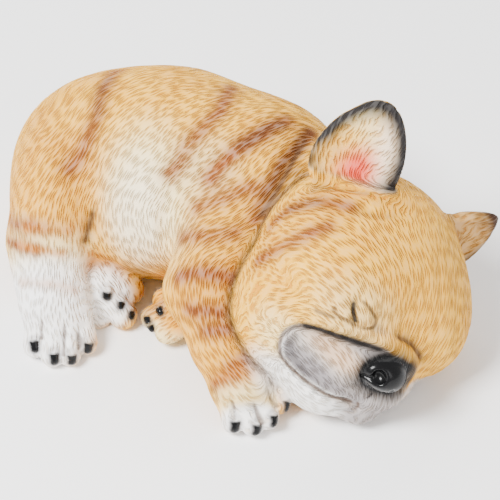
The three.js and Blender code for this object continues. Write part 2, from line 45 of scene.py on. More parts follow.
# The dog is worked out in figure units, about 206 to its length, and brought to the
# solid's box afterwards. x runs along the dog, y away from its legs, z up.
sleepingDog = {
    "pitch": 0.8,                  # spacing of the points at which the form is worked out
    "triangles": 192000,
    "lockDepth": 0.30,             # locks of hair, cut into the mesh
    "lockWidth": 1.4,
    "lockLength": 6,
    "lumpDepth": 0.16,             # unevenness of the hand-modelled skin
    "lumpSize": 7,
    "toeCutDepth": 1.0,            # grooves between the toes
    "toeCutWidth": 1.4,
    "nearClawPaint": 4.2,          # how far up from its tip a claw is black
    "farClawPaint": 3.1,
    "strokeWidth": 0.74,           # hair strokes, in paint and bump
    "strokeLength": 6.2,
    "strokeRelief": 0.85,
    "strokeHeight": 0.0008,        # metres
    "roughness": 0.62,
    "specular": 0.15,
    "glossRoughness": 0.24,        # on the nose and the claws
    "glossCoat": 0.08,
    "paints": {                    # as paint looks under a white light
        "fawn": (241, 180, 40), "gold": (214, 146, 28), "cream": (248, 228, 168),
        "white": (247, 245, 242), "terracotta": (142, 82, 38), "ochre": (186, 115, 26),
        "brown": (84, 50, 26), "grey": (118, 113, 118), "paleGrey": (192, 183, 178),
        "charcoal": (40, 37, 37), "black": (10, 10, 11), "pink": (226, 80, 58),
        "tan": (176, 140, 92),
    },
}
creaseReach = 8                    # how far from the skin a crease is worked out
joinMargin = 12                    # how far round a joined part the skin is looked at


def unit(v):
    v = np.asarray(v, float)
    return v / np.linalg.norm(v)


def blend(a, b, softness):
    h = np.maximum(softness - np.abs(a - b), 0) / softness
    return np.minimum(a, b) - h * h * softness / 4


def carve(a, b, softness):
    h = np.maximum(softness - np.abs(a + b), 0) / softness
    return np.maximum(a, -b) + h * h * softness / 4


def ease(t):
    t = np.clip(t, 0, 1)
    return t * t * (3 - 2 * t)


def length(v):
    return np.sqrt((v * v).sum(-1))


def egg(p, at, radii):
    radii = np.asarray(radii, np.float32)
    q = (p - np.asarray(at, np.float32)) / radii
    near = length(q)
    return near * (near - 1) / (length(q / radii) + 1e-6)


def limb(p, a, b, startRadius, endRadius):
    a = np.asarray(a, np.float32)
    run = np.asarray(b, np.float32) - a
    t = np.clip(((p - a) @ run) / (run @ run), 0, 1)
    return length((p - a) - t[..., None] * run) - (startRadius + (endRadius - startRadius) * t)


def into(p, at, axes):
    return (p - np.asarray(at, np.float32)) @ np.asarray(axes, np.float32).T


def facing(turn, dip, roll):
    t, d, r = np.radians([turn, dip, roll])
    ahead = np.array([np.sin(t) * np.cos(d), -np.cos(t) * np.cos(d), -np.sin(d)])
    side = np.array([-np.cos(t), -np.sin(t), 0])
    above = np.cross(side, ahead)
    rolledSide = side * np.cos(r) + above * np.sin(r)
    return np.array([ahead, rolledSide, above * np.cos(r) - side * np.sin(r)])


def bow(start, bend, end):
    # a curve from start to end through bend, as eleven places
    t = np.linspace(0, 1, 11)[:, None]
    s, b, e = (np.asarray(v, float) for v in (start, bend, end))
    return (1 - t) ** 2 * s + 2 * t * (1 - t) * (2 * b - (s + e) / 2) + t * t * e


def through(places):
    # a smooth line through places, four steps from each to the next
    p = np.array(places, float)
    p = np.concatenate([2 * p[:1] - p[1:2], p, 2 * p[-1:] - p[-2:-1]])
    line = []
    for a, b, c, d in zip(p, p[1:], p[2:], p[3:]):
        for t in np.arange(4) / 4:
            bend = t * (2 * a - 5 * b + 4 * c - d + t * (3 * (b - c) + d - a))
            line.append(b + 0.5 * t * (c - a + bend))
    return np.array(line + [p[-2]])


def slopeOf(p, form, reach=0.5):
    # the direction in which a form's distance grows
    steps = np.eye(3, dtype=np.float32) * reach
    g = np.stack([form(p + e) - form(p - e) for e in steps], -1)
    return g / (length(g)[..., None] + 1e-6)


def settle(line, form):
    # brings the places of a line onto a form's skin
    p = np.array(line, np.float32)
    for turn in range(6):
        p = p - slopeOf(p, form) * form(p)[:, None]
    return p


def nearLine(p, line, width, ends=(0, 0)):
    # 1 on the line, falling off beside it and fading towards its ends
    best = np.zeros(len(p), np.float32)
    low = np.min(line, 0) - 3 * width
    high = np.max(line, 0) + 3 * width
    i = np.nonzero(np.all((p > low) & (p < high), -1))[0]
    if not len(i):
        return best
    q = p[i]
    value = best[i]
    runs = len(line) - 1
    for k in range(runs):
        a = np.asarray(line[k], np.float32)
        run = np.asarray(line[k + 1], np.float32) - a
        t = np.clip(((q - a) @ run) / (run @ run), 0, 1)
        away = (((q - a) - t[..., None] * run) ** 2).sum(-1) / width ** 2
        share = (k + t) / runs
        strength = ease(share / ends[0]) if ends[0] else 1.0
        strength = strength * (ease((1 - share) / ends[1]) if ends[1] else 1.0)
        value = np.maximum(value, strength * np.exp(-away))
    best[i] = value
    return best


def crease(d, p, groove):
    line, width, depth, ends = groove
    i = np.nonzero(np.abs(d) < creaseReach)[0]
    if len(i):
        d[i] += depth * nearLine(p[i], line, width, ends)
    return d


def join(d, p, part, at, reach, softness):
    away = ((p - np.asarray(at, np.float32)) ** 2).sum(-1)
    i = np.nonzero(away < (reach + joinMargin) ** 2)[0]
    if len(i):
        d[i] = blend(d[i], part(p[i]), softness)
    return d


# Head, in its own frame: ahead, to the dog's right, above
headAt = np.array([45.5, -12.3, 42])
headAxes = facing(12, 2.4, 37)
headMasses = [
    ((-2, 0, 0), (41, 45, 38.5), 0),          # skull
    ((16, 21, -2), (27, 24, 24), 12),         # right cheek
    ((16, -22, -2), (27.5, 24.5, 24.5), 12),  # left cheek
    ((10, 22, -26), (27, 24, 24), 10),        # right jowl
    ((6, -14, -20), (26, 22, 24), 10),        # left jowl
    ((25, 4, -32), (25, 21, 19), 8),          # jaw
    ((43, 0, -5), (12, 17, 12), 6),           # bridge of the nose
]


def headMass(h):
    d = egg(h, *headMasses[0][:2])
    for at, radii, softness in headMasses[1:]:
        d = blend(d, egg(h, at, radii), softness)
    d = blend(d, limb(h, (36.5, 9, -13), (25, 26, -13), 17, 15), 5)        # right flew
    d = blend(d, limb(h, (33, 8, -27), (22, 25, -25), 15.5, 14.5), 6)      # lower lip
    d = blend(d, limb(h, (41, -8, -18), (34, -18, -21), 14.5, 13), 5)      # left flew
    return blend(d, egg(h, (42, -8.5, -30.5), (11.5, 11, 10)), 4)          # lip on the ground


# Folds and creases of the face: places, width, depth, and how far the ends fade
faceLines = {
    "flewTop": (((37, 37, -10), (38.5, 34, -7.4), (41, 29, -4.5), (44.6, 20, -1.7),
                 (48.5, 11.7, 2.3), (50.3, 6, 3.4)), 1.15, 2.1, (0.12, 0.25)),
    "mouth": (((38.2, 35, -8), (36.4, 37.8, -12.5), (35, 37.8, -18.2), (34.9, 35, -23.8),
               (35.9, 31.3, -27.7), (38.7, 27.4, -29.1), (41.9, 22, -29.4), (45.8, 16.1, -28.4),
               (47.8, 9.5, -27.7), (49, 2.9, -26.6), (49.4, -1.8, -25.5)), 1.2, 1.8, (0.12, 0.08)),
    "lipEdge": (((38.5, 33.5, -11), (37.6, 35, -15.5), (38, 33.4, -20.5), (39, 30.2, -23.6),
                 (41.5, 25.6, -25.3), (44.6, 19.5, -25.2), (47.4, 11, -24)), 1.5, 0.9, (0.2, 0.4)),
    "overNose": (((43.1, 5, 6.3), (42.9, 0, 6), (42.7, -6.6, 4.9), (43.3, -12.4, 2.3),
                  (42.5, -20, -2)), 1.8, 2.6, (0.5, 0.3)),
    "underNose": (((53, -1, -15), (52, -2, -18), (50, -2.5, -23)), 1.2, 1.0, (0.3, 0.3)),
    "lipFold": (((49, -2, -22.5), (50.7, -3.4, -26.5), (50.8, -3, -31)), 1.3, 1.7, (0.3, 0.3)),
    "eyeSlit": (((36.7, 26.6, 12.3), (38.1, 25.4, 9.8), (39.6, 24.2, 7.6), (40.8, 22.2, 5.8),
                 (42.3, 20.6, 4.6)), 0.8, 2.8, (0.3, 0.3)),
    "upperLid": (((36.6, 26.8, 13.5), (37.4, 23.2, 12.9), (38.6, 20.2, 12.4), (40, 17.5, 11.5),
                  (40.3, 14.6, 9.8), (41, 12.8, 8.2), (41.8, 12.7, 6.2), (42.3, 15.9, 4.6),
                  (42.6, 19, 4.6)), 0.9, 1.2, (0.1, 0.1)),
    "lowerLid": (((38.2, 32.3, 6.6), (39.2, 31.5, 5.2), (40.1, 30.1, 4.3), (41.2, 27.7, 4.2),
                  (42, 25, 4.6), (42.6, 21.1, 4.2), (42.7, 17.6, 3.2)), 0.9, 1.3, (0.15, 0.3)),
    "upperSwell": (((39.6, 19.5, 9.5), (40.8, 17.5, 7.5)), 4.0, -1.3, (0, 0)),
    "lowerSwell": (((38.8, 29.6, 7.8), (40.2, 27, 6.6)), 2.8, -1.1, (0, 0)),
    "underEye": (((35.5, 37.6, -0.5), (37, 35, 0.2), (38.8, 32.6, 1.4), (40.2, 30.1, 2.4),
                  (41.3, 27.1, 2.6)), 1.0, 1.1, (0.3, 0.5)),
    "besideEye": (((42, 12.2, 5.8), (42.6, 8.6, 6.4), (43.3, 5.1, 7)), 1.7, 0.9, (0.2, 0.5)),
    "brow": (((4, 29.5, 28), (6, 27.5, 29.8), (8.5, 20.8, 32.7), (7.6, 14, 35), (6.8, 7.5, 37.1)),
             2.0, 0.9, (0.4, 0.4)),
    "earRoll": (((-8, 40, 15), (-6, 37, 21), (-2, 31.5, 28), (2, 26, 32), (3, 17.5, 36)),
                3.0, -1.0, (0.3, 0.3)),
    "earGroove": (((-13, 40, 14), (-11, 38, 20), (-7, 32, 28), (-4, 26.5, 32), (-3, 17, 36.5)),
                  1.6, 1.2, (0.2, 0.2)),
}
faceLines = {name: (settle(through(line), headMass), width, depth, ends)
             for name, (line, width, depth, ends) in faceLines.items()}
noseAt = (50.2, 0.6, -5.6)
noseRadii = (9.4, 10.6, 7.6)


def headForm(p):
    h = into(p, headAt, headAxes)
    d = headMass(h)
    for groove in faceLines.values():
        d = crease(d, h, groove)
    d = blend(d, egg(h, noseAt, noseRadii), 0.5)
    d = carve(d, egg(h, (58, 6.3, -4.4), (4.4, 3, 3.2)), 0.8)                   # nostrils
    d = carve(d, egg(h, (61.5, -2.6, -7.6), (3.4, 1.7, 1.7)), 0.8)
    return carve(d, limb(h, (57.5, 7.2, -6.2), (53.2, 9.8, -9), 1.7, 0.8), 0.8)


# Ears: across, from base to tip, out of the hollow
def earPlace(onHead, alongMix, outMix, **sizes):
    base = headAt + np.array(onHead) @ headAxes
    along = unit(np.array(alongMix) @ headAxes)
    out = np.array(outMix) @ headAxes
    out = unit(out - along * (out @ along))
    return dict(base=base, axes=np.array([np.cross(along, out), along, out]), **sizes)


nearEar = earPlace((-9, 28, 28), (-0.3, 0.27, 0.97), (0.91, 0.36, 0), height=38, width=41,
                   thick=4.4, taper=0.3, lean=2.5, deep=1.25)
farEar = earPlace((-7, -32, 20), (-0.25, -0.6, 0.78), (0.91, -0.3, 0.45), height=25, width=36,
                  thick=4.6, taper=0.62, lean=0, deep=0.9)


def earSpace(p, ear):
    e = into(p, ear["base"], ear["axes"])
    x, y, z = e[..., 0], e[..., 1], e[..., 2]
    t = np.clip(y / ear["height"], -0.3, 1.2)
    across = (x - ear["lean"] * t * np.abs(t)) / (1 - ear["taper"] * t)
    return np.stack([across, y - 0.38 * ear["height"], z + 0.006 * x * x], -1)


def earForm(p, ear):
    q = earSpace(p, ear)
    shell = egg(q, (0, 0, 0), (ear["width"] / 2, ear["height"] * 0.64, ear["thick"]))
    hollow = egg(q, (0, -2, ear["thick"]),
                 (ear["width"] / 2 - 2.4, ear["height"] * 0.58, ear["thick"] * ear["deep"]))
    return carve(shell, hollow, 1.5)


# Paws: middle, directions ahead, aside and above, length, width and height, toes, softness
paws = {
    "hind": ((-79.5, -14, 11), facing(5, 10, 0), (33, 32, 25), 4, 5),
    "farHind": ((-65, 9.5, 12.5), facing(33, 8, -25), (45, 30, 27), 3, 3),
    "fore": ((-1, -53, 11), facing(25, 8, -6), (30, 30, 22), 4, 4),
    "farFore": ((-28, -8, 13), facing(-85, 5, 12), (30, 27, 23), 3, 3),
}


def pawForm(p, paw):
    at, axes, (long, wide, high), toes, softness = paw
    h = into(p, at, axes)
    d = egg(h, (-long * 0.14, 0, 0), (long * 0.48, wide * 0.44, high * 0.44))
    middle = (toes - 1) / 2
    toe = wide * 0.62 / toes
    for k in range(toes):
        share = (k - middle) / middle
        side = share * (wide * 0.5 - toe * 1.05)
        tip = long * (0.42 - 0.17 * share * share)
        knuckle = (tip - long * 0.55, side * 0.66, high * 0.20)
        d = blend(d, limb(h, knuckle, (tip, side, -high * 0.16), toe * 1.15, toe), 1.2)
    return d


# Claws, each from its root to its tip
claws = [
    ((-89.3, -23.5, 9.5), (-89, -25.4, 7.8)),             # right hind foot
    ((-80.9, -28.7, 7.8), (-80.8, -30.2, 5.6)),
    ((-73.7, -28.6, 7.3), (-73.8, -29.7, 4.8)),
    ((-67, -22.9, 8.4), (-67.4, -24.2, 6)),
    ((-5.9, -65.3, 8.1), (-6.2, -66.7, 6)),               # right forefoot
    ((2.7, -66.6, 7.9), (2.4, -67.9, 5.6)),
    ((9.3, -63, 8.8), (9.3, -64.6, 6.9)),
    ((14.5, -55.3, 10.3), (14.2, -57.2, 7.5)),
    ((-37.8, -9.7, 15.8), (-37.1, -11.8, 15.5)),          # left forefoot
    ((-42.6, -10.3, 11.5), (-42.4, -11.7, 10.2)),
    ((-41.8, -12.5, 8.6), (-41, -13.6, 7.2)),
    ((-59.6, -1.9, 18.2), (-60, -3.7, 16.2)),             # left hind foot
    ((-54.1, -2.4, 12.9), (-54.3, -5.3, 11.6)),
    ((-50.2, -5.4, 9.7), (-50.3, -7.6, 8.5)),
]


def clawForm(p, claw):
    return limb(p, *claw, 1.9, 1.6)


def bodyMass(p):
    d = egg(p, (-64, 54, 35), (38.5, 42, 39))                              # rump
    d = blend(d, egg(p, (-32, 48, 39), (46, 48, 44)), 20)                  # belly and flank
    d = blend(d, egg(p, (6, 34, 41), (37, 37, 41)), 20)                    # chest
    d = blend(d, limb(p, (13, 20, 40), (34, 0, 42), 32, 31), 12)           # neck
    d = blend(d, egg(p, (-81, 36, 38), (21, 37, 31)), 5)                   # right thigh
    d = blend(d, limb(p, (-85, 16, 28), (-83, -4, 17), 18, 14.5), 6)       # right hind leg
    d = blend(d, limb(p, (-6, 14, 49), (-19, -18, 35), 22, 15.5), 5)       # right shoulder
    d = blend(d, limb(p, (-19, -18, 35), (-10.5, -37, 22), 15.5, 13), 5)   # right foreleg
    return blend(d, limb(p, (-10.5, -37, 22), (-3, -50, 13), 13, 12), 4)   # right wrist


bodyLines = {
    "thigh": (bow((-64, 34, 75), (-64, 18, 64), (-66, 9, 48)), 4.0, 2.0, (0.6, 0.3)),
    "groin": (bow((-64, 13, 56), (-66, 8, 46), (-68, 6, 36)), 2.2, 2.0, (0.5, 0.1)),
    "armpit": (bow((-26, 14, 71), (-34, 6, 60), (-33.7, -1, 40)), 2.6, 1.8, (0.5, 0.1)),
    "neck": (bow((26, 36, 75), (15, 10, 75), (2, -6, 61)), 2.8, 2.4, (0.2, 0.1)),
    "elbow": (bow((-30, -14, 49), (-19, -10, 53), (-6, -10, 50)), 2.2, 0.8, (0.4, 0.4)),
    "hock": (bow((-99, 0, 40), (-90, -8, 40), (-74, -4, 40)), 2.0, 0.8, (0.3, 0.5)),
    "lowHock": (bow((-99, 0, 33), (-90, -10, 32), (-76, -8, 33)), 2.0, 0.7, (0.3, 0.5)),
}
bodyLines = {name: (settle(line, bodyMass), width, depth, ends)
             for name, (line, width, depth, ends) in bodyLines.items()}


def tailForm(p):
    return limb(p, (-86, 83, 34), (-93, 84, 20), 7, 4.5)


def dogForm(p):
    d = bodyMass(p)
    for groove in bodyLines.values():
        d = crease(d, p, groove)
    d = join(d, p, tailForm, (-90, 84, 27), 18, 4)
    for paw in paws.values():
        d = join(d, p, lambda q: pawForm(q, paw), paw[0], paw[2][0] * 0.75, paw[4])
    for claw in claws:
        d = join(d, p, lambda q: clawForm(q, claw), claw[0], 4, 0.4)
    d = join(d, p, headForm, headAt, 62, 2.2)
    for ear in (nearEar, farEar):
        middle = ear["base"] + ear["axes"][1] * ear["height"] / 2
        d = join(d, p, lambda q: earForm(q, ear), middle, ear["height"], 3)
    return np.maximum(d, -p[..., 2])


# The form's values on a fine grid, worked out only near the skin
def sampled(form, low, high, fine, ratio=4):
    wide = fine * ratio
    count = np.ceil((np.array(high) - low) / wide).astype(int) + 1
    axes = [low[k] + wide * np.arange(count[k]) for k in range(3)]
    nodes = np.stack(np.meshgrid(*axes, indexing="ij"), -1).astype(np.float32)
    rough = form(nodes.reshape(-1, 3)).reshape(count)
    near = np.abs(rough) < 2.2 * wide
    active = np.zeros(count - 1, bool)
    for i, j, k in np.ndindex(2, 2, 2):
        active |= near[i:count[0] - 1 + i, j:count[1] - 1 + j, k:count[2] - 1 + k]
    values = rough[:-1, :-1, :-1].repeat(ratio, 0).repeat(ratio, 1).repeat(ratio, 2)
    cells = np.argwhere(active)
    steps = np.stack(np.meshgrid(*[np.arange(ratio)] * 3, indexing="ij"), -1).reshape(-1, 3)
    for some in np.array_split(cells, max(1, len(cells) // 4000)):
        index = (some[:, None] * ratio + steps).reshape(-1, 3)
        d = form((np.array(low) + index * fine).astype(np.float32))
        values[index[:, 0], index[:, 1], index[:, 2]] = d
    return values


# Skin of the sampled form: a point in each cell that it crosses, a quad at each crossed edge
def skinOf(values, low, fine):
    shape = np.array(values.shape)
    owners, places, faces = [], [], []
    for axis in range(3):
        step = np.eye(3, dtype=int)[axis]
        first = values[tuple(slice(0, shape[k] - step[k]) for k in range(3))]
        second = values[tuple(slice(step[k], shape[k]) for k in range(3))]
        at = np.argwhere((first < 0) != (second < 0))
        a = first[tuple(at.T)]
        b = second[tuple(at.T)]
        point = at + (a / (a - b))[:, None] * step
        ring = np.zeros((4, 3), int)
        ring[1:3, (axis + 1) % 3] = -1
        ring[2:4, (axis + 2) % 3] = -1
        cells = at[:, None] + ring
        ids = np.ravel_multi_index(np.moveaxis(cells, -1, 0), shape)
        owners.append(ids.reshape(-1))
        places.append(np.repeat(point, 4, 0))
        faces.append(np.where((a < 0)[:, None], ids, ids[:, ::-1]))
    owners = np.concatenate(owners)
    places = np.concatenate(places)
    known, slots = np.unique(owners, return_inverse=True)
    count = np.bincount(slots)
    points = np.stack([np.bincount(slots, places[:, k]) / count for k in range(3)], -1)
    quads = np.searchsorted(known, np.concatenate(faces))
    return points * fine + low, quads


def meshFrom(name, points, faces):
    mesh = bpy.data.meshes.new(name)
    sides = faces.shape[1]
    mesh.vertices.add(len(points))
    mesh.vertices.foreach_set("co", np.asarray(points, np.float32).reshape(-1))
    mesh.loops.add(faces.size)
    mesh.loops.foreach_set("vertex_index", np.asarray(faces, np.int32).reshape(-1))
    mesh.polygons.add(len(faces))
    mesh.polygons.foreach_set("loop_start", np.arange(0, faces.size, sides, dtype=np.int32))
    mesh.update(calc_edges=True)
    mesh.validate()
    return mesh


def thinned(points, quads, limit):
    mesh = meshFrom("rough_dog", points, quads)
    thing = bpy.data.objects.new("rough_dog", mesh)
    bpy.context.scene.collection.objects.link(thing)
    cut = thing.modifiers.new("Thin", "DECIMATE")
    cut.ratio = min(1, limit / (len(quads) * 2))
    seen = thing.evaluated_get(bpy.context.evaluated_depsgraph_get())
    done = bpy.data.meshes.new_from_object(seen)
    done.calc_loop_triangles()
    places = np.empty(len(done.vertices) * 3, np.float32)
    done.vertices.foreach_get("co", places)
    triangles = np.empty(len(done.loop_triangles) * 3, np.int32)
    done.loop_triangles.foreach_get("vertices", triangles)
    bpy.data.objects.remove(thing)
    bpy.data.meshes.remove(mesh)
    bpy.data.meshes.remove(done)
    return places.reshape(-1, 3), triangles.reshape(-1, 3)


gridLow = np.array([-112.0, -82.0, -4.0])
gridHigh = np.array([112.0, 104.0, 124.0])
values = sampled(dogForm, gridLow, gridHigh, sleepingDog["pitch"])
points, quads = skinOf(values, gridLow, sleepingDog["pitch"])
print("skin", len(points), len(quads))
points, triangles = thinned(points, quads, sleepingDog["triangles"])
print("thinned", len(points), len(triangles))

# Thinning leaves the points a little off the form, so they are moved back to it
farthestMove = 0.6
points = points.astype(np.float32)
for turn in range(2):
    normals = slopeOf(points, dogForm, 0.3)
    move = np.clip(dogForm(points), -farthestMove, farthestMove)
    points = points - move[:, None] * normals
normals = slopeOf(points, dogForm, 0.45)
print("settled")

# Which way the hair lies: places on the skin, and the direction there
hairGuides = [
    ((-42, 57, 82), (-0.9, -0.5, 0.0)),       # back
    ((-6, 49, 82), (-0.9, -0.4, 0.2)),
    ((5, 42, 82), (-0.7, -0.7, 0.2)),
    ((-88, 65, 63), (-0.7, -0.5, -0.5)),      # rump
    ((-77, 37, 71), (-0.6, -0.7, -0.3)),
    ((-68, 31, 72), (-0.3, -0.8, -0.5)),
    ((-94, 19, 57), (-0.6, 0.0, -0.8)),
    ((-81, 17, 65), (-0.5, -0.8, -0.4)),
    ((-74, 12, 59), (-0.2, -0.8, -0.5)),
    ((-78, 5, 55), (-0.1, -0.6, -0.8)),
    ((-48, 38, 81), (-0.7, -0.7, -0.3)),      # flank
    ((-62, 41, 78), (-0.5, -0.8, -0.3)),
    ((-50, 25, 75), (-0.5, -0.7, -0.5)),
    ((-54, 15, 66), (-0.3, -0.6, -0.7)),
    ((-54, 8, 56), (0.2, -0.5, -0.9)),
    ((-46, 3, 48), (0.5, -0.3, -0.8)),
    ((-39, 17, 72), (-0.6, -0.6, -0.6)),
    ((-37, 8, 62), (-0.5, -0.5, -0.7)),
    ((-37, 0, 40), (-0.3, 0.0, -1.0)),
    ((-51, 3, 43), (0.4, -0.2, -0.9)),
    ((-15, 33, 82), (-0.8, -0.6, -0.2)),      # shoulder
    ((-28, 19, 75), (-0.7, -0.5, -0.5)),
    ((-6, 17, 77), (-0.8, -0.4, -0.4)),
    ((-15, 3, 66), (-0.9, -0.1, -0.5)),
    ((-15, -9, 59), (-0.9, -0.2, -0.3)),
    ((6, 11, 75), (-0.6, -0.7, -0.4)),
    ((15, 24, 80), (-0.6, -0.8, 0.0)),
    ((-15, -16, 55), (-0.9, -0.4, -0.2)),
    ((-28, -17, 50), (-0.5, -0.7, -0.5)),
    ((-15, -27, 48), (-0.1, -0.8, -0.6)),
    ((-15, -37, 39), (-0.1, -0.7, -0.7)),
    ((-6, -37, 43), (0.1, -0.9, -0.5)),
    ((-11, -47, 32), (0.3, -0.7, -0.6)),
    ((-18, -45, 31), (0.1, -0.7, -0.7)),
    ((-6, -56, 23), (0.4, -0.7, -0.5)),
    ((0, -49, 27), (0.5, -0.5, -0.7)),
    ((-4, -62, 17), (0.5, -0.5, -0.8)),       # forepaw
    ((5, -60, 16), (0.5, -0.2, -0.8)),
    ((-1, -67, 10), (0.3, -0.7, -0.6)),
    ((-95, 7, 42), (-0.1, -0.4, -0.9)),       # hind leg
    ((-85, 2, 49), (-0.1, -0.4, -0.9)),
    ((-76, 1, 45), (0.1, -0.2, -1.0)),
    ((-85, -3, 36), (-0.1, -0.6, -0.8)),
    ((-74, -3, 32), (0.2, -0.6, -0.8)),
    ((-85, -13, 28), (-0.3, -0.7, -0.7)),
    ((-82, -22, 18), (0.0, -0.6, -0.8)),
    ((-70, -19, 15), (0.2, -0.5, -0.9)),
    ((31, -4, 86), (-0.2, 0.4, 0.9)),         # in the near ear
    ((30, -2, 92), (-0.2, 0.2, 0.9)),
    ((34, 0, 96), (-0.1, 0.2, 0.9)),
    ((37, 1, 103), (0.1, 0.1, 1.0)),
    ((39, -2, 89), (0.1, 0.4, 0.9)),
    ((43, 0, 96), (0.2, 0.3, 0.9)),
    ((46, -4, 87), (0.3, 0.4, 0.9)),
    ((47, 2, 104), (0.3, 0.1, 0.9)),
    ((52, -1, 96), (0.5, 0.2, 0.9)),
    ((53, -4, 89), (0.6, 0.2, 0.8)),
    ((55, -1, 101), (0.5, 0.0, 0.9)),
    ((43, 2, 112), (0.3, 0.3, 0.9)),
    ((27, -15, 81), (0.5, -0.8, 0.1)),        # ear roll
    ((37, -17, 83), (0.6, -0.8, -0.2)),
    ((53, -13, 81), (0.2, -1.0, -0.1)),
    ((75, -15, 66), (0.2, -0.9, -0.4)),
    ((39, -30, 80), (0.6, -0.8, -0.3)),       # forehead
    ((59, -32, 73), (0.5, -0.6, -0.6)),
    ((70, -31, 64), (0.2, -0.6, -0.7)),
    ((59, -44, 62), (0.1, -0.5, -0.9)),
    ((33, -43, 75), (0.7, -0.7, -0.4)),
    ((32, -51, 70), (0.7, -0.5, -0.5)),
    ((50, -50, 63), (0.2, -0.4, -0.9)),
    ((76, -38, 50), (-0.1, -0.7, -0.7)),
    ((84, -28, 48), (0.0, -0.8, -0.5)),
    ((69, -46, 47), (-0.3, -0.5, -0.8)),
    ((47, -59, 51), (-0.1, -0.8, -0.6)),
    ((77, -46, 38), (-0.4, -0.6, -0.7)),
    ((85, -37, 38), (-0.1, -0.7, -0.7)),
    ((23, -34, 77), (0.6, -0.8, 0.0)),        # cheek
    ((11, -25, 71), (0.5, -0.7, 0.4)),
    ((4, -28, 60), (0.5, -0.7, 0.6)),
    ((1, -36, 53), (0.6, -0.6, 0.5)),
    ((3, -45, 49), (0.7, -0.4, 0.5)),
    ((7, -52, 45), (0.7, -0.2, 0.7)),
    ((15, -45, 67), (0.6, -0.8, 0.0)),
    ((10, -46, 58), (0.7, -0.6, 0.4)),
    ((21, -53, 62), (0.7, -0.6, -0.3)),
    ((33, -58, 59), (0.8, -0.2, -0.5)),
    ((5, -53, 38), (0.8, -0.5, 0.3)),
    ((0, -49, 39), (0.7, -0.7, 0.3)),
    ((15, -58, 32), (0.7, -0.4, -0.6)),       # muzzle
    ((26, -61, 28), (0.8, -0.4, -0.5)),
    ((20, -60, 43), (0.6, -0.4, -0.7)),
    ((31, -65, 42), (0.7, -0.5, -0.6)),
    ((41, -68, 38), (0.2, -0.1, -1.0)),
    ((34, -63, 47), (0.7, -0.5, -0.5)),
    ((13, -56, 37), (0.5, -0.3, -0.8)),
    ((15, -59, 21), (0.7, -0.5, -0.4)),       # jaw
    ((26, -65, 21), (0.8, -0.2, -0.5)),
    ((35, -65, 13), (0.7, 0.0, -0.7)),
    ((44, -65, 14), (0.1, -0.2, -1.0)),       # chin
    ((56, -61, 16), (0.0, 0.3, -0.9)),
    ((60, -59, 43), (-0.1, -0.9, -0.3)),      # bridge
    ((50, -62, 47), (0.3, -0.7, -0.6)),
    ((-58, -4, 20), (0.5, -0.6, -0.6)),       # far hind foot
    ((-35, -16, 18), (-0.7, 0.0, -0.7)),      # far forefoot
    ((15, -54, 56), (0.8, -0.5, 0.1)),        # beside the muzzle
    ((5, -51, 49), (0.8, -0.5, 0.2)),
    ((50, 25, 60), (0.5, -0.7, 0.2)),         # back of the head
    ((80, 10, 45), (0.1, -0.9, 0.4)),
    ((60, -10, 6), (0.4, 0.2, -0.6)),
]


def unitRows(v):
    return v / (length(v)[:, None] + 1e-9)


def hairDirection(p, n):
    # near guides count most; on the far side it is laid back and down
    farSide = ease((p[:, 1] - 45) / 20) * ease((30 - p[:, 0]) / 20)
    total = 3e-5 * farSide[:, None] * np.float32((-0.75, 0.1, -0.65))
    for at, way in hairGuides:
        away = ((p - np.asarray(at, np.float32)) ** 2).sum(-1)
        total += (1 / (away + 30) ** 2)[:, None] * unit(way).astype(np.float32)
    for ear in (nearEar, farEar):                     # fanning from the ear's base
        q = earSpace(p, ear)
        on = ease(1.5 - egg(q, (0, 0, 0), (ear["width"] / 2, ear["height"] * 0.64, ear["thick"])))
        on = on * ease((q[:, 1] + 0.38 * ear["height"]) / 5)
        fan = p - (ear["base"] - ear["axes"][1] * 22)
        total = unitRows(total) * (1 - on)[:, None] + unitRows(fan) * on[:, None]
    total -= (total * n).sum(-1)[:, None] * n
    return unitRows(total)


# Hair coordinates: numbers that grow by one for each unit across and along the hair.
# They are the best fit over a net of points; links that fit badly are let go, so that
# the numbers may jump where the hair comes round to where it started.
badFit = 0.8
hairNets = {"wideCell": 3, "wideRounds": 12, "wideTurns": 160, "fineRounds": 2,
            "fineTurns": 60, "evenings": 5}


def fitCoordinates(p, a, b, across, along, trust, guess, rounds, turns):
    starts = np.searchsorted(a, np.arange(len(p)))
    gap = p[b] - p[a]
    wanted = np.stack([((field[a] + field[b]) * gap).sum(-1) / 2 for field in (across, along)], -1)
    span = length(gap)[:, None] + 1e-6
    for turn in range(rounds):                        # each round by conjugate gradients
        miss = (guess[b] - guess[a] - wanted) / span
        weight = trust[:, None] + 0 * miss
        if turn:
            weight = weight / (1 + (miss / badFit) ** 2) ** 2
        degree = np.add.reduceat(weight, starts) + 1e-5
        side = -np.add.reduceat(weight * wanted, starts)

        def spread(x):
            return degree * x - np.add.reduceat(weight * x[b], starts)

        left = side - spread(guess)
        step = left / degree
        way = step
        power = (left * step).sum(0)
        for pull in range(turns):
            moved = spread(way)
            share = power / ((way * moved).sum(0) + 1e-12)
            guess = guess + share * way
            left = left - share * moved
            step = left / degree
            fresh = (left * step).sum(0)
            way = step + fresh / (power + 1e-12) * way
            power = fresh
    return guess


def linksOf(pairs, count):
    pairs = np.concatenate([pairs, pairs[:, ::-1]])
    pairs = pairs[pairs[:, 0] != pairs[:, 1]]
    key = np.unique(pairs[:, 0].astype(np.int64) * count + pairs[:, 1])
    return (key // count).astype(np.int32), (key % count).astype(np.int32)


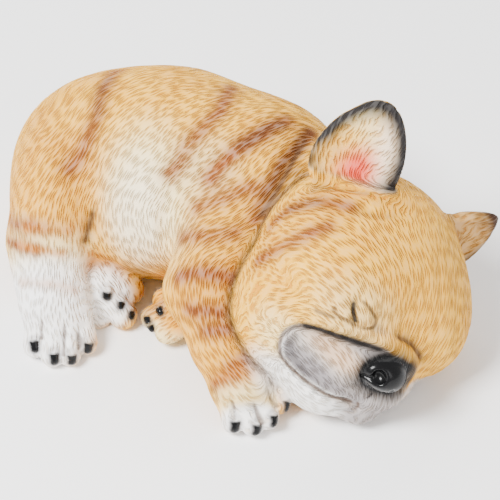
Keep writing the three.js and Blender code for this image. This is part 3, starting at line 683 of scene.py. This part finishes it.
def hairCoordinates(p, n, faces, across, along, whole):
    pairs = np.concatenate([faces[:, [0, 1]], faces[:, [1, 2]], faces[:, [2, 0]]])
    seen = (ease((n @ unit((0, -1, 1)) + 0.35) / 0.5) * 0.6 + 0.4) * whole
    # a wide net first: one point for each small cube of skin that faces one way
    cell = np.floor(p / hairNets["wideCell"]).astype(np.int64) + 64
    side = ((n > 0) * (1, 2, 4)).sum(-1)
    key = ((cell[:, 0] * 128 + cell[:, 1]) * 128 + cell[:, 2]) * 8 + side
    known, owner = np.unique(key, return_inverse=True)
    count = np.bincount(owner)[:, None]

    def gathered(v):
        return np.stack([np.bincount(owner, v[:, k]) for k in range(v.shape[1])], -1) / count

    wide, wideAcross, wideAlong = gathered(p), gathered(across), gathered(along)
    a, b = linksOf(owner[pairs], len(known))
    wideSeen = gathered(seen[:, None])[:, 0]
    trust = np.minimum(wideSeen[a], wideSeen[b])
    guess = np.stack([wide @ unit((1, 0.3, 0)), wide @ unit((0.2, 0.5, -1))], -1)
    guess = fitCoordinates(wide, a, b, unitRows(wideAcross), unitRows(wideAlong), trust, guess,
                           hairNets["wideRounds"], hairNets["wideTurns"])
    off = p - wide[owner]
    guess = guess[owner] + np.stack([(off * across).sum(-1), (off * along).sum(-1)], -1)
    a, b = linksOf(pairs, len(p))
    trust = np.minimum(seen[a], seen[b])
    guess = fitCoordinates(p, a, b, across, along, trust, guess,
                           hairNets["fineRounds"], hairNets["fineTurns"])
    # evened out between neighbours
    starts = np.searchsorted(a, np.arange(len(p)))
    links = np.bincount(a)[:, None]
    for turn in range(hairNets["evenings"]):
        off = p - np.add.reduceat(p[b], starts) / links
        guess = np.add.reduceat(guess[b], starts) / links
        guess = guess + np.stack([(off * across).sum(-1), (off * along).sum(-1)], -1)
    return guess


def smoothed(p, form):
    # the same places on the form without its creases
    close = np.abs(form(p)) < 5
    q = p.copy()
    q[close] = settle(p[close], form)
    return q


# The hair may part along the folds and where one mass meets another
head = into(points, headAt, headAxes)
face = smoothed(head, headMass)
onHead = headMass(head)
onBody = bodyMass(points)
between = np.maximum(np.maximum(onHead, onBody), 0)
seam = np.exp(-(between / 2.5) ** 2)
for name in ("flewTop", "mouth"):
    seam = np.maximum(seam, nearLine(face, faceLines[name][0], 2.2))
for ear in (nearEar, farEar):
    root = np.maximum(earForm(points, ear), np.minimum(onHead, onBody))
    seam = np.maximum(seam, np.exp(-(root / 2.5) ** 2))
for paw in paws.values():
    wrist = np.maximum(pawForm(points, paw), onBody)
    seam = np.maximum(seam, 0.8 * np.exp(-(wrist / 2) ** 2))
flow = hairDirection(points, normals)
acrossFlow = unitRows(np.cross(normals, flow))
hair = hairCoordinates(points, normals, triangles, acrossFlow, flow, 1 - 0.97 * seam)
print("hair laid")


# Smooth noise over a plane or through space, from a fixed mixing of whole numbers
def noise(q, seed):
    q = np.asarray(q, np.float64)
    cell = np.floor(q).astype(np.int64)
    t = ease(q - cell)
    total = np.zeros(len(q))
    for corner in np.ndindex(*[2] * q.shape[1]):
        mixed = np.full(len(q), seed * 7919, np.int64)
        weight = np.ones(len(q))
        for k, step in enumerate(corner):
            stir = (73856093, 19349663, 83492791)[k]
            mixed = (mixed ^ ((cell[:, k] + step) * stir)) * 2654435761
            mixed = (mixed ^ (mixed >> 15)) & 0xFFFFFFFF
            weight = weight * (t[:, k] if step else 1 - t[:, k])
        total += weight * (mixed & 0xFFFF) / 65535
    return total


def spot(p, at, radii, soft):
    # 1 inside an egg, fading to 0 outside it over soft times its own size
    q = (p - np.asarray(at, np.float32)) / np.asarray(radii, np.float32)
    return ease((1 + soft / 2 - length(q)) / soft)


# Bare skin on the nose and claws, hair on the rest down to the flat underside
nose = np.minimum(egg(head, noseAt, noseRadii), egg(head, (50.5, -2.5, -5.6), (8.6, 10.5, 6.8)))
noseSkin = ease(1.3 - nose) * ease((head[:, 0] - 46) / 2) * ease((head[:, 1] + 7.5) / 3)
clawSkin = np.zeros(len(points))
for k, claw in enumerate(claws):
    painted = sleepingDog["nearClawPaint" if k < 8 else "farClawPaint"]
    short = ease((painted - length(points - np.float32(claw[1]))) / 0.8)
    clawSkin = np.maximum(clawSkin, short * ease((1.0 - clawForm(points, claw)) / 0.9))
hairy = (1 - noseSkin) * (1 - clawSkin) * ease((points[:, 2] - 0.8) / 2)

# Relief cut into the mesh: locks of hair, lumps, and the grooves between the toes
lockSway = noise(points / 6, 5)
lockAcross = hair[:, 0] / sleepingDog["lockWidth"] + lockSway
locks = noise(np.stack([lockAcross, hair[:, 1] / sleepingDog["lockLength"]], -1), 1)
lockCut = ease((0.62 - locks) / 0.45)
lockDepth = sleepingDog["lockDepth"] * hairy * lockCut
lumps = sleepingDog["lumpDepth"] * noise(points / sleepingDog["lumpSize"], 3) * hairy
toeLines = [                                   # down the paw
    ((-85.6, -18.9, 20.5), (-86.4, -21.5, 16), (-86.6, -23.8, 10.6)),
    ((-76.6, -19.4, 19.8), (-76.2, -22.9, 15.7), (-77, -26.1, 10.7), (-77.3, -29.8, 6.8)),
    ((-70.7, -20.2, 14.6), (-70.4, -23, 9.7), (-70.4, -25.9, 7.3)),
    ((-8, -60.2, 18.1), (-6.8, -62.6, 13.6), (-5.6, -65.8, 9.9)),
    ((0.4, -61.1, 17.9), (3.2, -63.2, 11.3), (5.2, -66.5, 7.1)),
    ((6.4, -55.1, 19.5), (8.8, -57.3, 13.6), (11.6, -59.4, 9.2)),
]
toeLines = [through(line) for line in toeLines]
toeCuts = np.max([nearLine(points, line, sleepingDog["toeCutWidth"], (0.4, 0.05))
                  for line in toeLines], 0)
relief = lockDepth + lumps + sleepingDog["toeCutDepth"] * toeCuts
skin = points - normals * relief[:, None].astype(np.float32)
skin[:, 2] = np.maximum(skin[:, 2], 0)
print("relief cut")


# The paint is kept as one colour for each point, brushed on in layers
def linear(rgb):
    c = np.array(rgb) / 255
    return np.where(c <= 0.04045, c / 12.92, ((c + 0.055) / 1.055) ** 2.4)


paints = {name: linear(rgb) for name, rgb in sleepingDog["paints"].items()}
coat = np.tile(paints["fawn"], (len(points), 1))
patch = noise(points / 11, 8)
ragged = 0.9 + 0.25 * noise(np.stack([hair[:, 0] / 2, hair[:, 1] / 7], -1), 12)


def brush(paint, strength):
    global coat
    colour = paints[paint] if isinstance(paint, str) else paint
    coat = coat + np.clip(strength, 0, 1)[:, None] * (colour - coat)


def within(q, outline, soft):
    # 1 inside an outline drawn on a plane, fading to 0 over soft outside it
    outline = np.array(outline, float)
    inside = np.zeros(len(q), bool)
    away = np.full(len(q), np.inf)
    for a, b in zip(outline, np.roll(outline, -1, 0)):
        run = b - a
        t = np.clip(((q - a) @ run) / (run @ run), 0, 1)
        away = np.minimum(away, length((q - a) - t[:, None] * run))
        crosses = (a[1] > q[:, 1]) != (b[1] > q[:, 1])
        inside ^= crosses & (q[:, 0] < a[0] + (q[:, 1] - a[1]) * run[0] / (run[1] or 1e-9))
    return ease(1 - np.where(inside, 0, away) / soft)


def dab(paint, strength, p, at, radii, soft):
    brush(paint, strength * spot(p, at, radii, soft))


def band(paint, strength, width, *line):
    # a soft painted band along places on the skin
    brush(paint, strength * nearLine(points, np.array(line, np.float32), width) * ragged)


brush("gold", 0.6 * patch)
plain = coat.copy()
# Body: pale flank and belly, bands, white lower legs
dab("cream", 0.85, points, (-42, 10, 60), (18, 30, 26), 1.1)
dab("white", 0.35, points, (-46, 6, 52), (12, 20, 24), 1.2)
dab("cream", 0.5, points, (-18, 14, 74), (12, 12, 12), 1.4)
dab("ochre", 0.35, points, (-86, 20, 60), (26, 36, 26), 1.2)
dab("gold", 0.6, points, (-14, -34, 40), (20, 26, 24), 0.9)
band("terracotta", 0.9, 5, (-57, 73, 75), (-62, 54, 79), (-63, 42, 78), (-66, 33, 74),
     (-69, 28, 69), (-74, 22, 65))
band("brown", 0.35, 3, (-60, 64, 77), (-62, 54, 79), (-63, 42, 78))
band("terracotta", 0.95, 5, (-8, 56, 80), (-12, 38, 83), (-17, 31, 82), (-24, 24, 78),
     (-28, 17, 74), (-32, 14, 70))
band("terracotta", 1.0, 5.5, (15, 34, 81), (5, 26, 81), (-4, 20, 79), (-11, 15, 75), (-16, 10, 71))
band("terracotta", 0.9, 4.5, (25, 32, 76), (20, 23, 77), (14, 15, 76), (10, 8, 73),
     (6, 3, 69), (2, -5, 62))
band("brown", 0.6, 3.5, (12, 31, 81), (5, 26, 81), (-3, 21, 79))
band("brown", 0.6, 3.5, (25, 32, 76), (20, 23, 77), (14, 15, 76), (10, 8, 73), (6, 3, 69))
band("brown", 0.6, 4, (24, 2, 76), (20, 6, 76), (19, 10, 75))
band("terracotta", 0.85, 5, (0, 5, 71), (-11, 2, 67), (-21, 2, 62))
band("terracotta", 0.85, 5, (-6, -9, 59), (-17, -10, 58), (-28, -5, 52))
band("terracotta", 1.0, 5, (-28, -23, 48), (-17, -24, 51), (-6, -23, 46))
band("terracotta", 1.0, 4.5, (-24, -34, 40), (-13, -35, 40), (-4, -38, 46))
band("terracotta", 1.0, 4, (-18, -41, 35), (-10, -41, 36), (-3, -43, 42))
band("terracotta", 1.0, 4.5, (-7, -53, 26), (0, -49, 28))
band("terracotta", 1.0, 4, (-14, -55, 19), (-6, -55, 24))
dab("cream", 0.75, points, (-86, 0, 36), (20, 18, 14), 1.0)
dab("white", 1, points, (-84, -10, 14), (22, 30, 25), 0.6)
band("terracotta", 0.95, 4, (-103, 18, 40), (-97, 12, 43), (-89, 5, 49), (-84, 4, 49))
band("ochre", 0.7, 3, (-92, 6, 46), (-84, 4, 49), (-74, 3, 48))
band("terracotta", 0.95, 3.5, (-101, 10, 35), (-97, 6, 37), (-88, 0, 40))
band("ochre", 0.7, 2.5, (-95, 4, 39), (-85, -1, 41), (-77, -1, 39))
band("ochre", 0.5, 2.5, (-95, -6, 27), (-82, -10, 30), (-72, -9, 25))
dab("ochre", 0.7, points, (-62, 14, 24), (13, 12, 10), 0.8)
dab("white", 0.95, points, (-61, -5, 15), (12, 14, 13), 0.6)
dab("brown", 0.5, points, (-47, 2, 16), (6, 12, 10), 0.9)
dab("ochre", 0.5, points, (-28, -10, 18), (14, 14, 8), 0.8)
dab("cream", 0.8, points, (-36, -14, 6), (13, 12, 6), 0.8)
dab("ochre", 0.6, points, (-2, -57, 22), (14, 10, 8), 0.9)
dab("cream", 0.7, points, (1, -60, 14), (15, 10, 9), 0.7)
dab("white", 0.95, points, (2, -67, 7), (17, 9, 10), 0.5)
# Face: pale round the eye, grey muzzle, white jaw
front = ease((face[:, 0] - 26) / 4)
padOutline = [tuple(place[1:]) for place in faceLines["flewTop"][0]]
padOutline += [(1, 2), (-5, -6), (-3, -20)]
padOutline += [tuple(place[1:]) for place in faceLines["mouth"][0][::-1]]
pad = front * within(face[:, 1:], padOutline, 1.0)
brush(plain, ease((onBody - onHead) / 1.5 + 0.5))
band("terracotta", 0.85, 4.5, (8, -14, 68), (16, -13, 76), (27, -15, 81), (39, -19, 83))
band("brown", 0.4, 3, (16, -13, 76), (27, -15, 81))
band("terracotta", 0.9, 4.5, (30, -28, 81), (20, -30, 77), (11, -29, 69), (3, -25, 59))
dab("cream", 0.4, head, (38, 22, 6), (16, 16, 12), 1.2)
dab("cream", 0.6, head, (30, 32, -20), (16, 12, 12), 1.0)
brush("white", 0.95 * spot(head, (38, 12, -36), (24, 26, 12), 0.6) * (1 - pad))
dab("grey", 0.55, head, (51, -7, -23), (12, 12, 11), 0.7)
farPad = front * ease((-9 - face[:, 2]) / 4) * ease((1 - face[:, 1]) / 4)
brush("paleGrey", 0.9 * np.maximum(pad, farPad))
brush("grey", 0.85 * pad * spot(face, (44, 24, -23), (30, 22, 8), 1.2))
brush("grey", 0.55 * pad * spot(face, (46, 12, 0), (30, 14, 4), 1.5))
brush("gold", 0.4 * pad * spot(face, (42, 22, -8), (30, 12, 5), 1.4))
dab("grey", 0.55, head, (53, -8, -27), (12, 15, 10), 0.9)
# Grey along the fold beside the eye: painted shade in the fold
brush("grey", 0.35 * nearLine(face, faceLines["besideEye"][0], 1.8, (0.1, 0.4)))
aboveMouth = nearLine(face + np.float32((0, 0, -1.2)), faceLines["mouth"][0], 1.1, (0.1, 0.2))
brush("white", 0.6 * aboveMouth * pad)
# Dark paint along the creases of the face and the groove at the ear's base: partly the statue's own
# dark paint, partly painted shade in the creases
for name, paint, strength, width, ends in (
        ("flewTop", "charcoal", 0.55, 2.6, (0.1, 0.2)),
        ("lipEdge", "charcoal", 0.5, 2.0, (0.15, 0.3)),
        ("overNose", "brown", 0.5, 2.6, (0.3, 0.2)), ("eyeSlit", "brown", 0.35, 2.2, (0.2, 0.2)),
        ("brow", "brown", 0.35, 1.6, (0.4, 0.4)), ("earGroove", "brown", 0.5, 1.6, (0.2, 0.2))):
    brush(paint, strength * nearLine(face, faceLines[name][0], width, ends))
below = ease((-8 - head[:, 2]) / 6)
brush("charcoal", 0.95 * ease(1.25 - nose / (4.5 + 3 * below)) * ease((head[:, 0] - 40) / 6))
brush("black", ease((2.6 - nose) / 1.3) * ease((head[:, 0] - 44) / 3) * ease((head[:, 1] + 11) / 5))
print("body and face painted")

# Fine dark lines along creases, folds, joins and toe gaps, as distances from each line in shares of
# its width; partly the statue's own dark lines, partly painted shade
body = smoothed(points, bodyMass)
umberAndShade = np.full(len(points), 3.0)
inkAndShade = np.full(len(points), 3.0)


def drawn(sheet, p, line, width, ends):
    near = np.maximum(nearLine(p, line, width, ends), 1e-4)
    return np.minimum(sheet, np.sqrt(-np.log(near)))


for name, width, ends in (("flewTop", 1.3, (0.1, 0.15)), ("eyeSlit", 1.15, (0.2, 0.2)),
                          ("underNose", 0.7, (0.3, 0.5))):
    inkAndShade = drawn(inkAndShade, face, faceLines[name][0], width, ends)
for name, width, ends in (("mouth", 1.2, (0.05, 0.05)), ("overNose", 1.5, (0.3, 0.2)),
                          ("underEye", 1.1, (0.2, 0.3)), ("lowerLid", 1.1, (0.1, 0.2)),
                          ("upperLid", 0.9, (0.2, 0.1)), ("lipFold", 0.8, (0.2, 0.4))):
    umberAndShade = drawn(umberAndShade, face, faceLines[name][0], width, ends)
# Painted shade in the groin and neck folds: a brown band and a fine dark line along each
for name, width in (("groin", 1.2), ("neck", 1.3)):
    brush("brown", 0.5 * nearLine(body, bodyLines[name][0], 2.2, (0.3, 0.1)))
    umberAndShade = drawn(umberAndShade, body, bodyLines[name][0], width, (0.3, 0.1))

# Dark brown in the joins between the masses: partly the statue's own paint, partly painted shade
brush("brown", 0.6 * np.exp(-(between / 2.6) ** 2) * ease((points[:, 2] - 2) / 6))
umberAndShade = np.minimum(umberAndShade, between / 1.1)
# Brown where each paw meets the body: painted shade in the join
for paw in paws.values():
    onPaw = pawForm(points, paw)
    brush("brown", 0.35 * np.exp(-(np.maximum(np.maximum(onPaw, onBody), 0) / 1.2) ** 2))
# Dark lines down the grooves between the toes: partly the statue's own dark lines, partly painted
# shade in the gaps
for line in toeLines:
    umberAndShade = drawn(umberAndShade, points, line, 1.1, (0.3, 0.05))
for claw in claws:
    fromRoot = length(points - np.float32(claw[0]))
    brush("grey", 0.45 * ease((2.4 - clawForm(points, claw)) / 2) * ease(fromRoot / 3))

# Ears: black rim fading inwards, pale hollow with a pink spot; dark tip on the far one
q = earSpace(points, nearEar)
onEar = ease(1.8 - egg(q, (0, 0, 0), (20.5, 24.3, 4.4))) * ease((q[:, 1] + 13) / 3)
inside = onEar * ease((normals @ nearEar["axes"][2] + 0.1) / 0.4)
edge = length(q[:, :2] / np.array([20.5, 24.3]))
brush("cream", inside * 0.9)
brush("white", inside * 0.4 * ease((q[:, 0] + 2) / 14))
brush("pink", inside * 0.14 * ease((q[:, 0] + 8) / 14))
brush("fawn", inside * 0.8 * ease((8 - q[:, 0]) / 16) * ease((18 - q[:, 1]) / 14))
brush("ochre", inside * 0.3 * ease((-q[:, 0] - 2) / 8) * ease((8 - q[:, 1]) / 8))
brush("pink", inside * spot(q[:, :2], (1, -7), (8, 9), 1.5))
brush("brown", inside * 0.7 * ease((-q[:, 1] - 9) / 5))
rim = edge + 0.06 * patch - 0.52 - 0.16 * ease(-q[:, 0] / 10) * ease((6 - q[:, 1]) / 10)
brush("charcoal", inside * ease(rim / 0.42))
q = earSpace(points, farEar)
onEar = ease(1.8 - egg(q, (0, 0, 0), (18, 16, 4.6))) * ease((q[:, 1] + 6) / 3)
brush("tan", onEar * 0.75)
brush("charcoal", onEar * ease((q[:, 1] - 8) / 6))
brush("brown", 0.5 * onEar * ease((q[:, 1] - 2) / 8))
brush("charcoal", onEar * 0.6 * ease((q[:, 0] - 9) / 5))
brush("black", clawSkin)
coat = np.clip(coat, 0, 1)
print("painted")

# To the solid's own box
dogLow = points.min(0)
dogHigh = points.max(0)
scale = (boxHigh[0] - boxLow[0]) / (dogHigh[0] - dogLow[0])
shift = np.array([(boxLow[0] + boxHigh[0]) / 2, (boxLow[1] + boxHigh[1]) / 2, boxLow[2]])
middle = np.array([(dogLow[0] + dogHigh[0]) / 2, (dogLow[1] + dogHigh[1]) / 2, 0])


def placed(p):
    return (np.asarray(p) - middle) * scale + shift


mesh = meshFrom("sleeping_dog_painted", placed(skin), triangles)
mesh.shade_smooth()


def store(name, kind, data):
    layer = mesh.attributes.new(name, kind, "POINT")
    field = "color" if kind == "FLOAT_COLOR" else "value"
    layer.data.foreach_set(field, np.asarray(data, np.float32).reshape(-1))


store("coat", "FLOAT_COLOR", np.concatenate([coat, np.ones((len(coat), 1))], -1))
store("hairAcross", "FLOAT", hair[:, 0])
store("hairAlong", "FLOAT", hair[:, 1])
store("hairy", "FLOAT", hairy)
store("glossy", "FLOAT", np.maximum(noseSkin, clawSkin))
store("umberAndShade", "FLOAT", umberAndShade)
depthOfColour = np.ptp(coat, -1) / (coat.max(-1) + 0.01)      # white fur takes less groove paint
store("tint", "FLOAT", hairy * (0.35 + 0.65 * ease((depthOfColour - 0.2) / 0.7)))
store("inkAndShade", "FLOAT", inkAndShade)
store("lock", "FLOAT", lockCut * hairy)
dog = bpy.data.objects.new("sleeping_dog_painted", mesh)
bpy.context.scene.collection.objects.link(dog)
print("meshed")


class Nodes:
    def __init__(self, tree):
        self.tree = tree

    def add(self, kind, **values):
        node = self.tree.nodes.new(kind)
        for name, value in values.items():
            if hasattr(node, name):
                setattr(node, name, value)
            else:
                node.inputs[name.replace("_", " ")].default_value = value
        return node

    def math(self, operation, a, b=0.0, c=0.0, clamp=False):
        node = self.add("ShaderNodeMath", operation=operation, use_clamp=clamp)
        for slot, value in zip(node.inputs, (a, b, c)):
            self.feed(slot, value)
        return node.outputs[0]

    def feed(self, slot, value):
        if isinstance(value, bpy.types.NodeSocket):
            self.tree.links.new(value, slot)
        else:
            slot.default_value = value

    def mix(self, share, a, b, blend="MIX"):
        node = self.add("ShaderNodeMix", data_type="RGBA", blend_type=blend)
        for slot, value in zip((node.inputs[0], node.inputs[6], node.inputs[7]), (share, a, b)):
            self.feed(slot, value)
        return node.outputs[2]

    def range(self, value, low, high, start=0.0, end=1.0):
        node = self.add("ShaderNodeMapRange", interpolation_type="SMOOTHSTEP")
        for slot, item in zip(node.inputs, (value, low, high, start, end)):
            self.feed(slot, item)
        return node.outputs[0]


def groupOf(name, inputs, outputs):
    tree = bpy.data.node_groups.new(name, "ShaderNodeTree")
    for title, kind, default in inputs:
        socket = tree.interface.new_socket(title, in_out="INPUT", socket_type=kind)
        socket.default_value = default
    for title, kind in outputs:
        tree.interface.new_socket(title, in_out="OUTPUT", socket_type=kind)
    nodes = Nodes(tree)
    return tree, nodes, nodes.add("NodeGroupInput").outputs, nodes.add("NodeGroupOutput").inputs


# Carved hair strokes, from the hair coordinates
def carvedHair():
    tree, n, given, gives = groupOf(
        "Carved hair",
        [("Across", "NodeSocketFloat", 0.0), ("Along", "NodeSocketFloat", 0.0),
         ("Stroke width", "NodeSocketFloat", 1.0), ("Stroke length", "NodeSocketFloat", 6.0)],
        [(title, "NodeSocketFloat") for title in ("Height", "Groove", "Ridge")])
    place = n.add("ShaderNodeTexCoord").outputs["Object"]
    sway = n.add("ShaderNodeTexNoise", Scale=140.0, Detail=0.0)
    n.feed(sway.inputs["Vector"], place)
    swayed = n.math("MULTIPLY_ADD", sway.outputs["Fac"], 0.7, given["Across"])
    across = n.math("DIVIDE", swayed, given["Stroke width"])
    along = n.math("DIVIDE", given["Along"], given["Stroke length"])
    spread = n.add("ShaderNodeCombineXYZ")
    n.feed(spread.inputs[0], across)
    n.feed(spread.inputs[1], along)
    cuts = n.add("ShaderNodeTexVoronoi", voronoi_dimensions="2D", Scale=1.0, Randomness=0.75)
    n.feed(cuts.inputs["Vector"], spread.outputs[0])
    rough = n.add("ShaderNodeTexNoise", noise_dimensions="2D", Scale=0.9, Detail=0.0)
    n.feed(rough.inputs["Vector"], spread.outputs[0])
    away = n.math("MULTIPLY_ADD", rough.outputs["Fac"], 0.15, cuts.outputs["Distance"])
    n.feed(gives["Height"], n.range(away, 0.12, 0.56))
    n.feed(gives["Groove"], n.range(away, 0.42, 0.20))
    n.feed(gives["Ridge"], n.range(away, 0.48, 0.72))
    return tree


# Paint rubbed into the grooves and worn off the ridges, then the fine dark lines, partly painted
# shade in creases, folds and joins
def groovePaintAndShade():
    tree, n, given, gives = groupOf(
        "Groove paint and shade",
        [("Coat", "NodeSocketColor", (0.7, 0.5, 0.3, 1)), ("Groove", "NodeSocketFloat", 0.0),
         ("Ridge", "NodeSocketFloat", 0.0), ("Amount", "NodeSocketFloat", 1.0),
         ("Umber and shade", "NodeSocketFloat", 3.0), ("Ink and shade", "NodeSocketFloat", 3.0)],
        [("Colour", "NodeSocketColor")])
    deep = n.mix(1.0, given["Coat"], (0.80, 0.64, 0.40, 1), "MULTIPLY")
    pale = n.mix(0.07, given["Coat"], (0.95, 0.90, 0.80, 1))
    cut = n.math("MULTIPLY", given["Groove"], given["Amount"])
    worn = n.math("MULTIPLY", given["Ridge"], given["Amount"])
    first = n.mix(cut, given["Coat"], deep)
    second = n.mix(worn, first, pale)
    # Dark lines: partly the statue's own dark lines, partly painted shade in creases, folds, joins
    # and toe gaps
    umberAndShadeLine = n.range(given["Umber and shade"], 1.2, 0.2, 0.0, 0.75)
    inkAndShadeLine = n.range(given["Ink and shade"], 1.15, 0.25, 0.0, 0.95)
    third = n.mix(umberAndShadeLine, second, (0.10, 0.05, 0.025, 1))
    n.feed(gives["Colour"], n.mix(inkAndShadeLine, third, (0.018, 0.015, 0.014, 1)))
    return tree


def paintedResin():
    material = bpy.data.materials.new("painted_resin")
    material.use_nodes = True
    tree = material.node_tree
    n = Nodes(tree)
    shader = tree.nodes["Principled BSDF"]
    read = {}
    for name in ("coat", "hairAcross", "hairAlong", "hairy", "glossy", "lock", "umberAndShade", "inkAndShade",
                 "tint"):
        node = n.add("ShaderNodeAttribute", attribute_name=name)
        read[name] = node.outputs["Color" if name == "coat" else "Fac"]
    strokes = n.add("ShaderNodeGroup", node_tree=carvedHair())
    n.feed(strokes.inputs["Across"], read["hairAcross"])
    n.feed(strokes.inputs["Along"], read["hairAlong"])
    n.feed(strokes.inputs["Stroke width"], sleepingDog["strokeWidth"])
    n.feed(strokes.inputs["Stroke length"], sleepingDog["strokeLength"])
    colour = n.add("ShaderNodeGroup", node_tree=groovePaintAndShade())
    n.feed(colour.inputs["Coat"], read["coat"])
    cut = n.math("MULTIPLY_ADD", read["lock"], 0.1, strokes.outputs["Groove"], clamp=True)
    n.feed(colour.inputs["Groove"], cut)
    n.feed(colour.inputs["Ridge"], strokes.outputs["Ridge"])
    n.feed(colour.inputs["Amount"], read["tint"])
    n.feed(colour.inputs["Umber and shade"], read["umberAndShade"])
    n.feed(colour.inputs["Ink and shade"], read["inkAndShade"])
    n.feed(shader.inputs["Base Color"], colour.outputs["Colour"])
    rough, gloss = sleepingDog["roughness"], sleepingDog["glossRoughness"]
    n.feed(shader.inputs["Roughness"], n.range(read["glossy"], 0.0, 1.0, rough, gloss))
    lacquer = n.math("MULTIPLY", read["glossy"], sleepingDog["glossCoat"])
    n.feed(shader.inputs["Coat Weight"], lacquer)
    shader.inputs["Specular IOR Level"].default_value = sleepingDog["specular"]
    bump = n.add("ShaderNodeBump", Distance=sleepingDog["strokeHeight"])
    n.feed(bump.inputs["Strength"], sleepingDog["strokeRelief"])
    n.feed(bump.inputs["Height"], n.math("MULTIPLY", strokes.outputs["Height"], read["hairy"]))
    n.feed(shader.inputs["Normal"], bump.outputs["Normal"])
    return material


dog.data.materials.append(paintedResin())
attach(dog, "root")
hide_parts("sleeping_dog")

print("finished and placed")

# Floor, lights and camera
studio = {
    "floorTone": 0.96,
    "daylight": 0.95,
    "lights": {                       # place in metres, size, power
        "key": ((-0.6, -0.45, 1.0), 0.45, 42),
        "fill": ((0.9, -0.9, 0.7), 0.7, 6),
        "back": ((0.1, 1.0, 0.9), 0.8, 8),
    },
    "lightsAimAt": (0, 0, 0.04),
    "lens": 140,
    "cameraAimAt": (0, 0, 40),        # this and the next in figure units
    "cameraReach": 800,
    "cameraTilt": 45,
}
bpy.ops.mesh.primitive_plane_add(size=6, location=(0, 0, -0.0002))
floor = bpy.context.active_object
floor.name = "floor"
paper = bpy.data.materials.new("paper")
paper.use_nodes = True
paperShader = paper.node_tree.nodes["Principled BSDF"]
paperShader.inputs["Base Color"].default_value = (*[studio["floorTone"]] * 3, 1)
paperShader.inputs["Roughness"].default_value = 0.9
floor.data.materials.append(paper)

world = bpy.data.worlds.new("studio")
bpy.context.scene.world = world
world.use_nodes = True
sky = world.node_tree.nodes["Background"]
sky.inputs["Color"].default_value = (1, 1, 1, 1)
sky.inputs["Strength"].default_value = studio["daylight"]


def softLight(name, place, size, power):
    data = bpy.data.lights.new(name, "AREA")
    data.energy = power
    data.size = size
    light = bpy.data.objects.new(name, data)
    light.location = place
    way = np.array(studio["lightsAimAt"]) - np.array(place)
    turn = math.atan2(way[1], way[0]) - math.pi / 2
    drop = math.atan2(-way[2], math.hypot(way[0], way[1]))
    light.rotation_euler = (math.pi / 2 - drop, 0, turn)
    bpy.context.scene.collection.objects.link(light)


for name, light in studio["lights"].items():
    softLight(name, *light)

target = placed(studio["cameraAimAt"])
reach = studio["cameraReach"] * scale
tilt = math.radians(studio["cameraTilt"])
lens = bpy.data.cameras.new("view")
lens.lens = studio["lens"]
lens.sensor_width = 36
lens.clip_start = 0.01
camera = bpy.data.objects.new("view", lens)
camera.location = target + reach * np.array([0, -math.cos(tilt), math.sin(tilt)])
camera.rotation_euler = (math.pi / 2 - tilt, 0, 0)
bpy.context.scene.collection.objects.link(camera)
bpy.context.scene.camera = camera
print("studio set")
